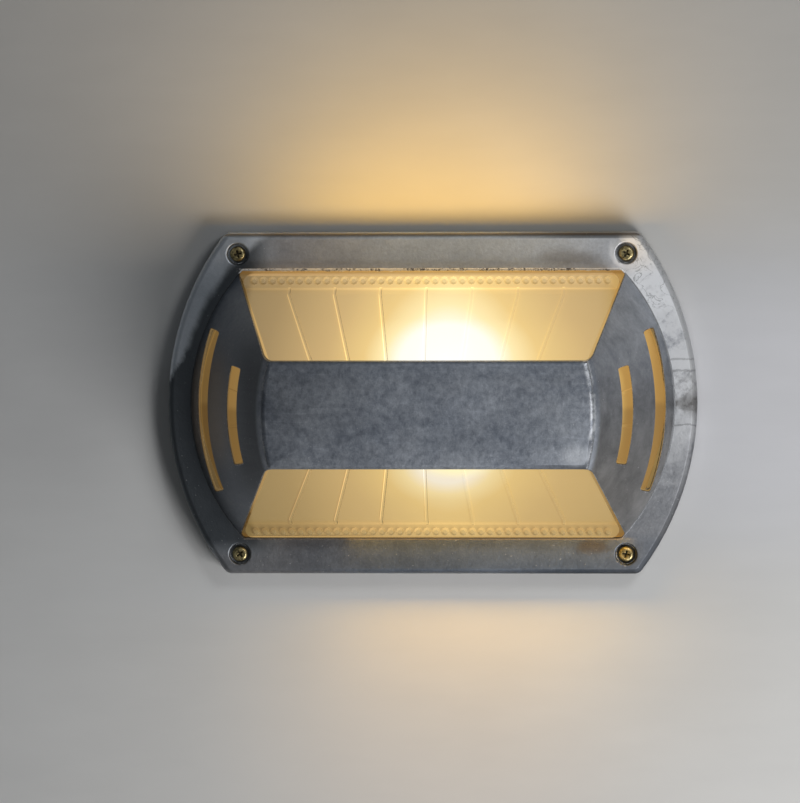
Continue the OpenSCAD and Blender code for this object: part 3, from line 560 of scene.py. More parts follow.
# %% [markdown]
# A mix paints a tone where its mask is 1, and a tint makes what is there paler or darker.

# %% Skin of the casting
SKIN_DARK = (0.28, 0.31, 0.365)
SKIN_PALE = (0.43, 0.455, 0.495)
RIM_SKIN = (0.68, 0.68, 0.70)

shade = cast.step(cloud * 0.38 + patch * 0.26 + streak * 0.14 + speckle * 0.22, 0.36, 0.64)
metal = cast.mix(SKIN_DARK, SKIN_PALE, shade)
metal = cast.mix(metal, RIM_SKIN, on_rim * (0.35 + patch * 0.5))
# painted shade: the bar is darker at its left end
bar_painted_shade = 0.8 + cast.step(right, -70, 0) * 0.3 - right_side * 0.08
bar_marks = (speckle - 0.5) * 0.4 + (sweep - 0.5) * 0.9 + scratch * 0.10
metal = cast.tint(metal, 1 + on_bar * (bar_painted_shade - 1 + bar_marks))
cast.note("its skin")

# %% [markdown]
# The rim is painted in light and shade here. Above the upper window it is made paler and bluer
# as a painted reflection, along the bottom a bluer tone offsets the warm light of the lower glow
# lamp, and painted shade darkens it downwards, most of all in a strip under the lower window.

# %% Rim above and below the windows
PAINTED_COOL_LIGHT = (0.80, 0.92, 1.0)
WARM_LIGHT_OFFSET = (0.76, 0.87, 1.0)

low_rim = cast.step(up, -62, -70)
# painted shade: the rim darkens downwards
metal = cast.tint(metal, 1 - on_rim * (cast.step(up, 30, -75) * 0.40 + low_rim * 0.10))
# painted reflection: paler and bluer above the upper window
painted_cool_top = on_rim * cast.step(abs(right - 20), 95, 25) * cast.step(up, 60, 70)
metal = cast.mix(metal, PAINTED_COOL_LIGHT, painted_cool_top * 0.36)
# painted cool tone that offsets the lower glow lamp's warm light
painted_cool_bottom = on_rim * cast.step(abs(right - 28), 110, 40) * low_rim
metal = cast.mix(metal, WARM_LIGHT_OFFSET, painted_cool_bottom, "MULTIPLY")
# painted shade in a strip under the lower window
strip = cast.step(up, -60, -64) * cast.step(up, -74, -67)
shade_below_window = on_rim * cast.step(abs(right), WINDOW_END, WINDOW_END - 6) * strip
metal = cast.tint(metal, 1 - shade_below_window * 0.25)
metal = cast.tint(metal, 1 + (grain - 0.5) * 0.35 + (speckle - 0.5) * 0.25)
cast.note("the rim by the windows")

# %% [markdown]
# The two cheeks hardly look like one metal, and painted shade makes most of the difference. The
# right one is browner, painted paler at its top and darker from the middle down. The left one is
# darker grey with painted shade, nearly black next to the bar, and brown towards its foot.

# %% Right cheek
RIGHT_BROWN = (0.36, 0.34, 0.31)

right_cheek = on_cheek * right_side
low_cheek = cast.step(up, 25, -35)
metal = cast.mix(metal, RIGHT_BROWN, right_cheek * (0.25 + low_cheek * 0.5))
cheek_marks = (patch - 0.5) * 0.8 + (streak - 0.5) * 0.4
# painted shade: paler at the top of the right cheek, darker from the middle down
cheek_painted_shade = 0.28 - cast.step(up, 45, 0) * 0.55 - low_cheek * 0.12 + cheek_marks
metal = cast.tint(metal, 1 + right_cheek * cheek_painted_shade)
cast.note("the right cheek")

# %% Left cheek
LEFT_SHADE = (0.15, 0.16, 0.175)
LEFT_DEEP_SHADE = (0.06, 0.065, 0.07)
LEFT_BROWN = (0.37, 0.29, 0.21)

left_cheek = on_cheek * left_side
# painted shade: the left cheek is made darker grey
metal = cast.mix(metal, LEFT_SHADE, left_cheek * cast.step(abs(up + 5), 70, 25) * 0.75)
near_bar = cast.step(right, -98, -84) * cast.step(abs(up + 4), 48, 20)
# painted shade: nearly black next to the bar
metal = cast.mix(metal, LEFT_DEEP_SHADE, left_cheek * near_bar * 0.6)
near_foot = cast.step(right, -92, -106) * cast.step(abs(up), 36, 14)
metal = cast.mix(metal, LEFT_BROWN, on_cheek * near_foot * 0.55)
cast.note("the left cheek")

# %% [markdown]
# The right end of the rim is rubbed bright, and a painted sheen makes it paler still. Above it is
# crackled with dark veins, in the middle three flow lines and a dark branching stain cross it. A
# vein lies where a noise passes through its middle value, so a narrow step round that value draws
# it.

# %% Rubbed right end of the rim, with a painted sheen
RUBBED_SHEEN = (0.97, 0.98, 1.0)

rubbed_and_sheen = on_rim * cast.step(right + patch * 20, 99, 111) * cast.step(up + patch * 34, -38, 38)
crackle = rubbed_and_sheen * cast.step(up, 40, 52)
# painted sheen: the rubbed end is made paler, and its bare metal paler still
metal = cast.tint(metal, 1 + rubbed_and_sheen * 0.08)
bare_metal = cast.step(speckle * 0.4 + patch * 0.8 + crackle * 0.12, 0.40, 0.60)
metal = cast.mix(metal, RUBBED_SHEEN, rubbed_and_sheen * bare_metal)
dark_veins = cast.veins(9, 0.02, 21) * 0.4 + cast.step(speckle, 0.5, 0.36) * 0.12
metal = cast.tint(metal, 1 - crackle * dark_veins)
cast.note("the rubbed end")

# %% Flow lines and the stain
FLOW_LINES_UP = (21.6, 16.6, -10.5)
STAIN = (0.20, 0.19, 0.18)

across = on_rim * cast.step(right, 109, 114)
wobble = (patch - 0.5) * 5
for line_up in FLOW_LINES_UP:
    line = across * cast.step(abs(up - line_up - wobble), 0.7, 0.2)
    metal = cast.tint(metal, 1 - line * 0.35)
spread = 1 + cast.step(right, 119, 129) * 2.2
stain = across * cast.step(abs(up - 0.5 - (patch - 0.5) * 6) / spread, 3.2, 0.6)
blotch = across * cast.step(abs(up - 6), 13, 5) * cast.step(speckle * 0.4 + patch * 0.6, 0.54, 0.42)
metal = cast.mix(metal, STAIN, stain * 0.62 + blotch * 0.30)
cast.note("flow lines and the stain")

# %% [markdown]
# The left end of the rim is painted paler and bluer as a painted reflection, and nearly black with
# painted shade along the foot of the cheek. The dark zone is narrow at the top and takes up the
# whole width of the rim from the middle down. So it is drawn as a distance from the foot that
# grows downwards, with the patches to make its border ragged.

# %% Painted reflection and painted shade on the left end of the rim
LEFT_REFLECTION = (0.72, 0.78, 0.84)
FOOT_SHADE = (0.075, 0.085, 0.095)

left_end = on_rim * cast.step(right, -70, -90) * cast.step(up, -78, -66)
middle_down = cast.step(up + patch * 24, 42, 6)
tarnish_and_shade = left_end * cast.step(from_foot - middle_down * 16 + (patch - 0.5) * 4, 7.5, 2.5)
# painted reflection: the left end of the rim paler and bluer
metal = cast.mix(metal, LEFT_REFLECTION, left_end * 0.6)
# painted shade along the foot of the cheek
metal = cast.mix(metal, FOOT_SHADE, tarnish_and_shade * 0.93)
cast.note("tarnish_and_shade")

# %% [markdown]
# The rim's outer edge is already round in the CAD model, so no bevel of ours marks it, and it is
# found by its depth. It is dull on the right, where painted shade also darkens it, it carries a
# brown painted shade along the top, and it is painted paler near the wall as painted light.

# %% Outer edge of the rim
TOP_EDGE_SHADE = (0.17, 0.135, 0.10)

outer_edge = on_rim * cast.step(out, RIM_OUT - 0.03, RIM_OUT - 0.2)
# painted shade on the right of the outer edge
metal = cast.tint(metal, 1 - outer_edge * right_side * 0.5)
# brown painted shade along the top edge
shaded_top_edge = outer_edge * cast.step(out, 10.8, 11.8) * cast.step(up, RIM_TOP - 2, RIM_TOP - 1)
metal = cast.mix(metal, TOP_EDGE_SHADE, shaded_top_edge * 0.75)
# painted light: paler near the wall
metal = cast.tint(metal, 1 + cast.step(out, 11, 10) * 0.25)
cast.note("the outer edge")

# %% [markdown]
# The metal is marked most round the four screws, and painted light and shade lie there too. Their
# recesses are darkened with painted shade, there is a patch of painted light by the upper left one,
# an arc of painted highlight and a blot of painted shade by the upper right one, and a brown stain
# by the lower right one. A blot is a stretched circle with a ragged border.

# %% Marks, painted shade and painted light round the screws
RECESS_SHADE = (0.10, 0.10, 0.085)
ARC_HIGHLIGHT = (0.98, 0.98, 1.0)
SHADE_BLOT = (0.30, 0.28, 0.26)
BROWN_BLOT = (0.16, 0.13, 0.10)


def blot(x, z, width, height, ragged, reach, core):
    """1 in the core of a ragged blot on the guard and 0 past its reach, in shares of its size."""
    from_middle = cast.distance((right - x) / width, (up - z) / height)
    return cast.step(from_middle + (patch - 0.5) * ragged, reach, core)


# painted light: a pale patch by the upper left screw
painted_light_patch = cast.step(cast.distance(right + 84, up - 74), 13, 3)
metal = cast.tint(metal, 1 + on_rim * painted_light_patch * 0.5)
# painted shade in the screws' recesses
recess_shade = cast.step(from_screw, RECESS_R + 0.5, RECESS_R) * cast.step(out, 12.7, 11.4)
metal = cast.mix(metal, RECESS_SHADE, recess_shade * 0.45)
# painted highlight: a pale arc by the upper right screw
painted_highlight_arc = cast.step(abs(cast.distance(right - 97, up - 76) - 9), 2.4, 0.4)
painted_highlight_arc = painted_highlight_arc * cast.step(right + up, 172, 158) * cast.step(up, 60, 68)
metal = cast.mix(metal, ARC_HIGHLIGHT, on_rim * painted_highlight_arc * 0.9)
# painted shade: a dull blot by the upper right screw
painted_shade_blot = blot(66, 72, width=16, height=5, ragged=1.4, reach=1.1, core=0.3)
metal = cast.mix(metal, SHADE_BLOT, on_rim * painted_shade_blot * 0.45)
brown_blot = blot(79, -70.5, width=9, height=4.5, ragged=1.8, reach=1.1, core=0.4)
metal = cast.mix(metal, BROWN_BLOT, on_rim * brown_blot * 0.65)
cast.note("marks round the screws")

# %% [markdown]
# A painted highlight runs along the bar's right end as a bright ridge, with a dull bevel darkened
# by painted shade round it and a painted glint beside it. The end is an arc, so the ridge is found
# by its distance from the arc's centre.

# %% Right end of the bar
RIDGE_HIGHLIGHT = (0.92, 0.94, 0.97)
GLINT = (0.90, 0.93, 0.97)

from_end = cast.distance(right + BAR_CENTRE, up) - BAR_END_R
# painted highlight along the bar's right end
painted_ridge = cast.step(abs(from_end + 1.6), 2.2, 0.6) * cast.step(up, -20, -8)
painted_ridge = painted_ridge * cast.step(out, BAR_OUT - 10.5, BAR_OUT - 4.5) * right_side
metal = cast.mix(metal, RIDGE_HIGHLIGHT, painted_ridge * cast.step(speckle * 0.6 + patch * 0.4, 0.40, 0.58) * 0.8)
# painted shade on the bevel round the end
shaded_end_bevel = cast.step(out, BAR_OUT - 0.55, BAR_OUT - 0.75)
shaded_end_bevel = shaded_end_bevel * cast.step(out, BAR_OUT - 2.7, BAR_OUT - 1.9)
shaded_end_bevel = shaded_end_bevel * right_side * cast.step(up, -4, -14)
metal = cast.tint(metal, 1 - shaded_end_bevel * 0.55)
# painted glint beside the end
glint = on_bar * blot(71, -19, width=9, height=6, ragged=1, reach=1.2, core=0.2)
metal = cast.mix(metal, GLINT, glint * 0.6)
cast.note("the bar's end")

# %% [markdown]
# The specks are the highest peaks of a fine noise. The trimmed edge is bare, shiny metal, painted
# white as a painted highlight too.

# %% Specks, and the trimmed edge above the upper window
SPECK = (0.95, 0.95, 0.95)
TRIMMED_HIGHLIGHT = (1.0, 1.0, 1.0)

speck = cast.step(cast.noise(0.8, 1, 0.5, shift=31), 0.76, 0.80)
metal = cast.mix(metal, SPECK, speck * (1 - rubbed_and_sheen) * 0.6)
along_window = cast.step(abs(right), WINDOW_END, WINDOW_END - 4) * cast.step(right, 70, 50)
above_window = along_window * cast.step(abs(up - WINDOW_EDGE - 0.5), 0.9, 0.5)
# bare metal with a painted highlight along the trimmed edge
trimmed_and_highlight = on_rim * above_window * cast.step(grain * 0.6 + patch * 0.4, 0.47, 0.54)
metal = cast.mix(metal, TRIMMED_HIGHLIGHT, trimmed_and_highlight)
cast.note("specks and the trimmed edge")

# %% [markdown]
# The lamp lights the walls of the slots from inside, amber on the right and weaker on the left.
# Light that has come through glass and a narrow slot renders grainy, so the walls glow a little by
# themselves. They are known by lying deeper than the cheeks' sloping skin.

# %% Glow in the slots
CHEEK_SLOPE = 1.62
SLOT_GLOW_LEFT = (0.125, 0.082, 0.034)
SLOT_GLOW_RIGHT = (0.26, 0.17, 0.06)


def inside_slots(finish):
    """1 below the cheeks' outer skin where the slots are, and 0 elsewhere."""
    right, out, up = finish.axes_mm()
    from_foot = past_foot(finish, right, up)
    below_cheek = finish.step(out - RIM_OUT + from_foot * CHEEK_SLOPE, -1.6, -3.2)
    beside_bar = finish.step(abs(right), 80, 84) * finish.step(abs(up), 50, 46)
    return below_cheek * beside_bar * finish.step(from_foot, -0.6, -1.4)


slot_glow = cast.mix(SLOT_GLOW_LEFT, SLOT_GLOW_RIGHT, right_side)
slot_glow = cast.tint(slot_glow, inside_slots(cast))
cast.note("the slots' glow")

# %% Set the cast metal
dulled = outer_edge * right_side * 0.2 + shaded_end_bevel * 0.25
cast.set(
    emission_color=slot_glow,
    emission_strength=1.0,
    base_color=metal,
    metallic=0.95 - rubbed_and_sheen * 0.5 - crackle * 0.25 - trimmed_and_highlight * 0.2,
    roughness=0.46 + shade * 0.10 - rubbed_and_sheen * 0.12 - painted_ridge * 0.08 + dulled,
    normal=cast.bump(grain * 0.7 + speckle * 0.8 + patch * 1.2 + cloud * 3.5, 0.11),
)
cast.note("all its layers")

# %% [markdown]
# The edges were trimmed in a press and then knocked about, so they are brighter than the skin
# beside them and broken up by nicks. Pointiness could find them, but only as finely as the mesh
# is cut, so the bevel that rounds them gives them this finish of their own. Along the upper window
# they are most broken and carry a painted highlight, and in the crease at the foot of the cheeks
# they are darkened by painted shade.

# %% Worn edges
EDGE_DARK = (0.22, 0.23, 0.25)
EDGE_BRIGHT = (0.50, 0.51, 0.53)
CREASE_SHADE_LEFT = (0.09, 0.095, 0.10)
CREASE_SHADE_RIGHT = (0.36, 0.37, 0.38)
BURR_DARK = (0.22, 0.19, 0.16)
BURR_HIGHLIGHT = (1.0, 1.0, 1.0)

worn = Finish("cast_edges")
right, out, up = worn.axes_mm()
nick = worn.noise(1.1, 4, 0.7)
chip = worn.noise(6, 3, 0.6, shift=5)
bright = worn.step(nick * 0.65 + chip * 0.35, 0.46, 0.60)
edge = worn.mix(EDGE_DARK, EDGE_BRIGHT, bright)
# painted shade in the crease: nearly black on the left, lighter to the right and higher up
crease_shade = worn.step(abs(past_foot(worn, right, up)), 2.4, 1.2) * worn.step(out, 17.5, 16)
crease_lit_share = worn.step(right, -20, 20) * (0.5 + worn.step(up, -40, 10) * 0.5)
edge = worn.mix(edge, worn.mix(CREASE_SHADE_LEFT, CREASE_SHADE_RIGHT, crease_lit_share), crease_shade * 0.85)
window = worn.step(abs(abs(up) - WINDOW_EDGE - 0.4), 2.0, 1.2) * worn.step(out, 9, 12)
window = window * worn.step(abs(right), WINDOW_END + 2, WINDOW_END - 2)
# painted highlight on the broken edge along the upper window
burr = worn.step(nick * 0.6 + chip * 0.4, 0.42, 0.50) * worn.step(up, 0, 10)
edge = worn.mix(edge, worn.mix(BURR_DARK, BURR_HIGHLIGHT, burr), window)
worn.set(
    emission_color=worn.tint(SLOT_GLOW_LEFT, inside_slots(worn) * worn.step(right, 0, -10)),
    emission_strength=1.0,
    base_color=edge,
    metallic=0.85 - window * burr * 0.6,
    roughness=0.5 - bright * 0.12 + crease_shade * 0.1,
    normal=worn.bump(nick + chip, 0.25),
)
worn.note("nicks, crease and burr")

# %% [markdown]
# The die leaves the slots with round ends and the screws' recesses with a soft lip. One bevel
# can't have three widths, so those edges are picked and bevelled wider before all other sharp
# edges are rounded a little.

# %% Front cover
RECESS_LIP = 0.9
SLOT_ROUND = 1.4
SLOT_REACH = 45
SLOT_SIDE = 80
SLOT_DEPTH_LEAST = 2
EDGE_ROUND = 0.45
ON_FACE_MM = 0.05
ON_ARC_MM = 0.2
UPRIGHT_MM = 0.1


def on_recess_lip(corners):
    """An edge in the rim's face, on the circle of a recess."""
    for p in corners:
        from_middle = math.hypot(abs(p.x) / MM - SCREW_X, abs(p.z) / MM - SCREW_UP)
        if abs(-p.y / MM - RIM_OUT) >= ON_FACE_MM or abs(from_middle - RECESS_R) >= ON_ARC_MM:
            return False
    return True


def at_slot_end(corners):
    """An upright edge of a slot: its two corners differ only in their depth."""
    first, last = corners
    aside = math.hypot(first.x - last.x, first.z - last.z)
    at_slots = abs(first.x) > SLOT_SIDE * MM and abs(first.z) < SLOT_REACH * MM
    deep = abs(first.y - last.y) > SLOT_DEPTH_LEAST * MM
    return at_slots and deep and aside < UPRIGHT_MM * MM


cover = merged_copy("front_cover", "guard_casting")
pick(cover, "EDGE", on_recess_lip, over_degrees=30)
bpy.ops.mesh.bevel(offset=RECESS_LIP * MM, segments=3)
pick(cover, "EDGE", at_slot_end, over_degrees=60)
bpy.ops.mesh.bevel(offset=SLOT_ROUND * MM, segments=4)
for finish in (cast, worn):
    cover.data.materials.append(finish.material)
round_edges(cover, EDGE_ROUND, over_degrees=35, edge_slot=1)
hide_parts("front_cover")
give(cover, "cover_casting")

# %% [markdown]
# Trimming left a ragged strip of flash along the rim's edge above the upper window. A bump can't
# break up an outline, so it is a thin grid whose free edge is pushed up, down and out by a cloudy
# texture, and which is then thickened.

# %% Flash above the upper window
FLASH_L = 178
FLASH_W = 0.5
FLASH_THICK = 0.25
FLASH_CUTS = 420


def ragged(strip, direction, strength_mm, size_mm, shift):
    """Pushes the free edge of a strip about by a cloudy texture."""
    cloudy = bpy.data.textures.new("ragged", "CLOUDS")
    cloudy.noise_scale = size_mm * MM
    cloudy.noise_depth = 3
    spot = bpy.data.objects.new("texture_place", None)
    spot.location.x = shift
    bpy.context.scene.collection.objects.link(spot)
    apply_modifier(strip, "DISPLACE", texture=cloudy, texture_coords="OBJECT",
                   texture_coords_object=spot, direction=direction, strength=strength_mm * MM,
                   vertex_group="free_edge")
    bpy.data.objects.remove(spot)
    bpy.data.textures.remove(cloudy)


deselect()
bpy.ops.mesh.primitive_grid_add(
    x_subdivisions=FLASH_CUTS, y_subdivisions=1, size=1, rotation=(math.radians(90), 0, 0))
flash = bpy.context.object
flash.name = "window_flash"
flash.scale = (FLASH_L * MM, FLASH_W * MM, 1)
flash.location = (0, -(RIM_OUT - 0.1) * MM, (WINDOW_EDGE + 0.05) * MM)
bpy.ops.object.transform_apply()
free = flash.vertex_groups.new(name="free_edge")
free.add([p.index for p in flash.data.vertices if p.co.z < WINDOW_EDGE * MM], 1, "REPLACE")
ragged(flash, "Z", strength_mm=-1.0, size_mm=3, shift=0)
ragged(flash, "Y", strength_mm=-1.3, size_mm=1.2, shift=5)
apply_modifier(flash, "SOLIDIFY", thickness=FLASH_THICK * MM, offset=0)
smooth(flash, over_degrees=60)
give(flash, "cover_casting", worn)

# %% [markdown]
# ## Frosted glass, lit from inside
# The glass is pressed, frosted soda glass. The lamp behind it makes a white-hot patch where the
# bulb is nearest, and the rest glows from gold to tan towards the ends. Light that is scattered
# through frosted glass renders slowly, so the glass glows by itself: a colour ramp reads how far
# the lamp is. The lower window is duller, with its own hot patch.

# %% Glow of the glass
LAMP_X = 9.0
# the bar's long edge, and how far beyond it the glass is hot
BAR_EDGE = 24
HOT_REACH = 20
GLOW_REACH = 125
GLOW_STOPS = (
    (0.00, (1.0, 0.99, 0.95)), (0.18, (1.0, 0.97, 0.86)), (0.245, (0.94, 0.77, 0.40)),
    (0.32, (0.76, 0.53, 0.195)), (0.46, (0.53, 0.355, 0.14)), (0.70, (0.29, 0.19, 0.075)),
    (1.00, (0.12, 0.08, 0.03)),
)
HOT_BELOW = (1.0, 0.92, 0.52)

glass = Finish("frosted_glass")
right, out, up = glass.axes_mm()
lower = glass.step(up, 2, -2)
beside = (right - LAMP_X) * (1 - glass.step(right, 15, 90) * 0.18)
away = (abs(up) - BAR_EDGE).at_least(0)
further = (away - HOT_REACH).at_least(0)
from_lamp = glass.distance(beside, away * 1.3 - further * 0.6) + lower * 9
glow = glass.node("ValToRGB", {"stops": GLOW_STOPS}, {"Fac": from_lamp / GLOW_REACH})
hot_below = lower * glass.step(glass.distance((beside - 4) / 17, away / 7), 1.3, 0.4)
glow = glass.mix(glass.tint(glow, 1 - lower * 0.25), HOT_BELOW, hot_below * 0.8)
glass.note("its glow")

# %% [markdown]
# A rib or bead shows a bright flank on the side that leans away from the lamp. The normal says
# which way a flank leans, so the glow is made to follow the normal a little.

# %% Ribs, beads and the rim of the tray
BAND_EDGE = 57.4

lean = glass.split(glass.node("NewGeometry", out="Normal"))
lean_x, lean_up = lean[0], lean[2]
outer_flank = lean_x * glass.node("Clamp", None, {"Value": beside / 16, "Min": -1, "Max": 1})
left_ribs = glass.step(beside, 10, -10)
on_band = glass.step(abs(up), BAND_EDGE - 0.5, BAND_EDGE + 0.5) * glass.step(out, 22, 24)
band_line = glass.step(abs(abs(up) - BAND_EDGE), 0.9, 0.3)
flank_gain = (left_ribs * (1.15 + lower * 0.7) - 0.2) * (1 - on_band * 0.7)
line_gain = 0.14 + lower * 0.14
bead_top = on_band * glass.step(out, 25.15, 25.5)
relief = outer_flank * flank_gain + on_band * lean_up * 0.55 + band_line * line_gain - bead_top * 0.09
glow = glass.tint(glow, 1 + relief)
glass.note("ribs and beads")

# %% [markdown]
# Less of the lamp's light arrives at these, so the glass is hazier, darker or amber there.

# %% Duller lower window, the tray's wall and the glass behind the slots
LOWER_HAZE = (0.33, 0.235, 0.14)
WALL_AMBER = (0.42, 0.24, 0.08)
BEHIND_SLOT = (0.97, 0.88, 0.70)

glow = glass.mix(glow, LOWER_HAZE, lower * 0.14)
glow = glass.tint(glow, 1 - lower * glass.step(right, -40, -80) * 0.14)
tray_wall = glass.step(abs(up), 63.3, 64.1)
wall_amber = glass.tint(WALL_AMBER, 1 - glass.step(out, 20, 10) * 0.4)
glow = glass.mix(glow, wall_amber, tray_wall * 0.75)
behind_slot = glass.step(abs(right), 86, 90)
left_slots = behind_slot * glass.step(right, 0, -10)
glow = glass.mix(glow, BEHIND_SLOT, behind_slot, "MULTIPLY")
glow = glass.tint(glow, 1 - left_slots * (0.42 - glass.step(right, -100, -106) * 0.18))
glass.note("its dimmer parts")

# %% [markdown]
# Pressed edges are finer than cast ones, so the tray's bevel is smaller than the castings'.

# %% Glass tray
GLASS_PALE = (0.36, 0.30, 0.20)
GLASS_AMBER = (0.30, 0.21, 0.07)
GLASS_ROUND = 0.2

glass.set(
    # painted light: the glass is amber in the lower window and behind the right slots, offsetting the
    # bluish studio light on it
    base_color=glass.mix(GLASS_PALE, GLASS_AMBER, lower.at_least(glass.step(right, 80, 90))),
    roughness=0.5,
    emission_color=glow,
    emission_strength=1.0,
    normal=glass.bump(glass.noise(0.9, 2), 0.03),
)
tray = merged_copy("glass_diffuser", "glass_tray")
round_edges(tray, GLASS_ROUND, over_degrees=30)
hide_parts("glass_diffuser")
give(tray, "frosted_glass", glass)

# %% [markdown]
# ## Cover screws
# Four M4 pan-head screws in yellow zinc hold the guard down. One is modelled from a cylinder: its
# top edge is rolled over into the pan, the shank is drawn out below in thread ridges, and two
# tapered blades are cut out of the head for the cross recess. A ridge for each turn looks like a
# thread here and is far lighter than a helix. The screw is then copied to the corners, each copy
# turned to where the screwdriver left it.

# %% Drawing out in steps
def draw_out(shift, scale=1.0, centre=(0, 0, 0)):
    """Extrudes what is selected and scales its far end about a point."""
    bpy.ops.mesh.extrude_region_move(TRANSFORM_OT_translate={"value": shift})
    bpy.ops.transform.resize(value=(scale, scale, 1), center_override=centre)


print("drawing out ready")


# %% One screw
HEAD_D = 7.6
HEAD_H = 2.6
HEAD_ROLL = 1.5
SHANK_D = 4.0
SHANK_L = 8.0
THREAD_PITCH = 0.7
THREAD_ROOT = 0.82
CROSS_L = 5.2
CROSS_W = 1.4
CROSS_TAPER = 0.5
CROSS_DEPTH = 1.7
CROSS_ROUND = 0.12


def cut_blade(screw, turn):
    """Cuts one tapered blade of the cross recess."""
    deselect()
    bpy.ops.mesh.primitive_cube_add(size=1)
    blade = bpy.context.object
    blade.scale = (CROSS_L * MM, CROSS_W * MM, 2 * CROSS_DEPTH * MM)
    blade.location.z = HEAD_H * MM
    blade.rotation_euler.z = turn
    bpy.ops.object.transform_apply()
    pick(blade, "FACE", lambda corners: all(p.z < (HEAD_H - 0.9 * CROSS_DEPTH) * MM for p in corners))
    bpy.ops.transform.resize(value=(CROSS_TAPER, CROSS_TAPER, 1), center_override=(0, 0, 0))
    bpy.ops.object.mode_set(mode="OBJECT")
    apply_modifier(screw, "BOOLEAN", object=blade, operation="DIFFERENCE", solver="EXACT")
    bpy.data.objects.remove(blade)


deselect()
bpy.ops.mesh.primitive_cylinder_add(vertices=40, radius=HEAD_D / 2 * MM, depth=HEAD_H * MM)
screw = bpy.context.object
screw.name = "screw_pattern"
screw.location.z = HEAD_H / 2 * MM
bpy.ops.object.transform_apply()
pick(screw, "EDGE", lambda corners: all(p.z > 0.99 * HEAD_H * MM for p in corners))
bpy.ops.mesh.bevel(offset=HEAD_ROLL * MM, segments=6)
pick(screw, "FACE", lambda corners: all(p.z < 0.01 * MM for p in corners))
bpy.ops.mesh.inset(thickness=(HEAD_D - SHANK_D) / 2 * MM)
for thread_turn in range(int(SHANK_L / THREAD_PITCH)):
    draw_out((0, 0, -THREAD_PITCH / 2 * MM), THREAD_ROOT)
    draw_out((0, 0, -THREAD_PITCH / 2 * MM), 1 / THREAD_ROOT)
bpy.ops.object.mode_set(mode="OBJECT")
for turn in (0, math.pi / 2):
    cut_blade(screw, turn)
apply_modifier(screw, "BEVEL", width=CROSS_ROUND * MM, segments=2, limit_method="ANGLE",
               angle_limit=math.radians(40))
smooth(screw)
print("one screw:", len(screw.data.polygons), "faces")

# %% [markdown]
# Yellow zinc is a thin skin, so it isn't one colour: it shimmers from straw to olive and it is
# scuffed. The cross recess is painted black as shade. Two noises and the depth give all three.

# %% Yellow zinc, with painted shade in the recess
ZINC_OLIVE = (0.20, 0.17, 0.09)
ZINC_STRAW = (0.72, 0.60, 0.30)
ZINC_RECESS_SHADE = (0.05, 0.045, 0.035)

zinc = Finish("yellow_zinc")
right, out, up = zinc.axes_mm()
sunk = zinc.step(out, RIM_OUT - 0.45, RIM_OUT - 1.1)
rainbow = zinc.noise(2.2, 3, 0.6)
scuff = zinc.noise(0.6, 3, 0.7, shift=4)
plate = zinc.mix(ZINC_OLIVE, ZINC_STRAW, zinc.step(rainbow * 0.6 + scuff * 0.4, 0.40, 0.60))
# painted shade: what is sunk below the rim's face is darkened
plate = zinc.mix(plate, ZINC_RECESS_SHADE, sunk * (0.55 + scuff * 0.5))
zinc.set(
    base_color=plate,
    metallic=0.9,
    roughness=0.26 + scuff * 0.2 + sunk * 0.2,
    normal=zinc.bump(scuff + rainbow, 0.05),
)
zinc.note("its shimmer and grime")

# %% [markdown]
# The CAD screws' boxes say where they go. A finished piece has its place in its mesh, so each
# copy gets a mesh of its own.

# %% Four screws in their recesses
SCREW_TURNS = {"top_left": 12, "top_right": 63, "bottom_left": 40, "bottom_right": 78}
for corner, turn in SCREW_TURNS.items():
    node = "cover_screw_" + corner
    low, high = (Vector(point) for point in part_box(node))
    middle = (low + high) / 2
    piece = bpy.data.objects.new("screw_" + corner, screw.data.copy())
    bpy.context.scene.collection.objects.link(piece)
    under_head = Vector((middle.x, low.y + HEAD_H * MM, middle.z))
    facing_out = Matrix.Rotation(math.radians(90), 4, "X") @ Matrix.Rotation(math.radians(turn), 4, "Z")
    piece.matrix_world = Matrix.Translation(under_head) @ facing_out
    activate(piece)
    bpy.ops.object.transform_apply()
    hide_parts(node)
    give(piece, "yellow_zinc", zinc)
bpy.data.objects.remove(screw)

# %% [markdown]
# ## Base
# The base is cast like the guard, but only its back and its inside are seen, which are never
# rubbed. Its skin is a darker, sandy grey with a dusting of white corrosion in the hollows. The
# guard's finish could be used again, but its marks lie where the guard has them, so a plain one
# of three noises is made.

# %% Cast metal of the base
BASE_DARK = (0.24, 0.25, 0.27)
BASE_PALE = (0.42, 0.43, 0.45)
CORROSION = (0.62, 0.62, 0.60)
BASE_ROUND = 0.3

skin = Finish("cast_base")
right, out, up = skin.axes_mm()
sand = skin.noise(0.9, 3, 0.65)
chill = skin.noise(30, 5, 0.6, shift=2)
bloom = skin.noise(7, 5, 0.7, shift=9)
drab = skin.mix(BASE_DARK, BASE_PALE, skin.step(chill * 0.7 + sand * 0.3, 0.38, 0.62))
dusted = skin.step(bloom, 0.60, 0.72) * skin.step(out, 0.4, 1.2)
skin.set(
    base_color=skin.mix(drab, CORROSION, dusted * 0.5),
    metallic=0.85,
    roughness=0.55 + chill * 0.12,
    normal=skin.bump(sand + chill * 2, 0.2),
)
base = merged_copy("base_housing", "base_casting")
round_edges(base, BASE_ROUND, over_degrees=35)
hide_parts("base_housing")
give(base, "base_casting", skin)

# %% [markdown]
# ## Pieces inside
# The pieces inside keep their CAD shape, because they are seen only with the guard off, and each
# gets the finish of the real thing: glazed porcelain, brass, spring bronze, zinc-plated steel,
# moulded plastic, rubber and insulation. Two makers of finishes cover the metals and the
# mouldings, because each family has the same kind of blemishes, and the rest have their own.

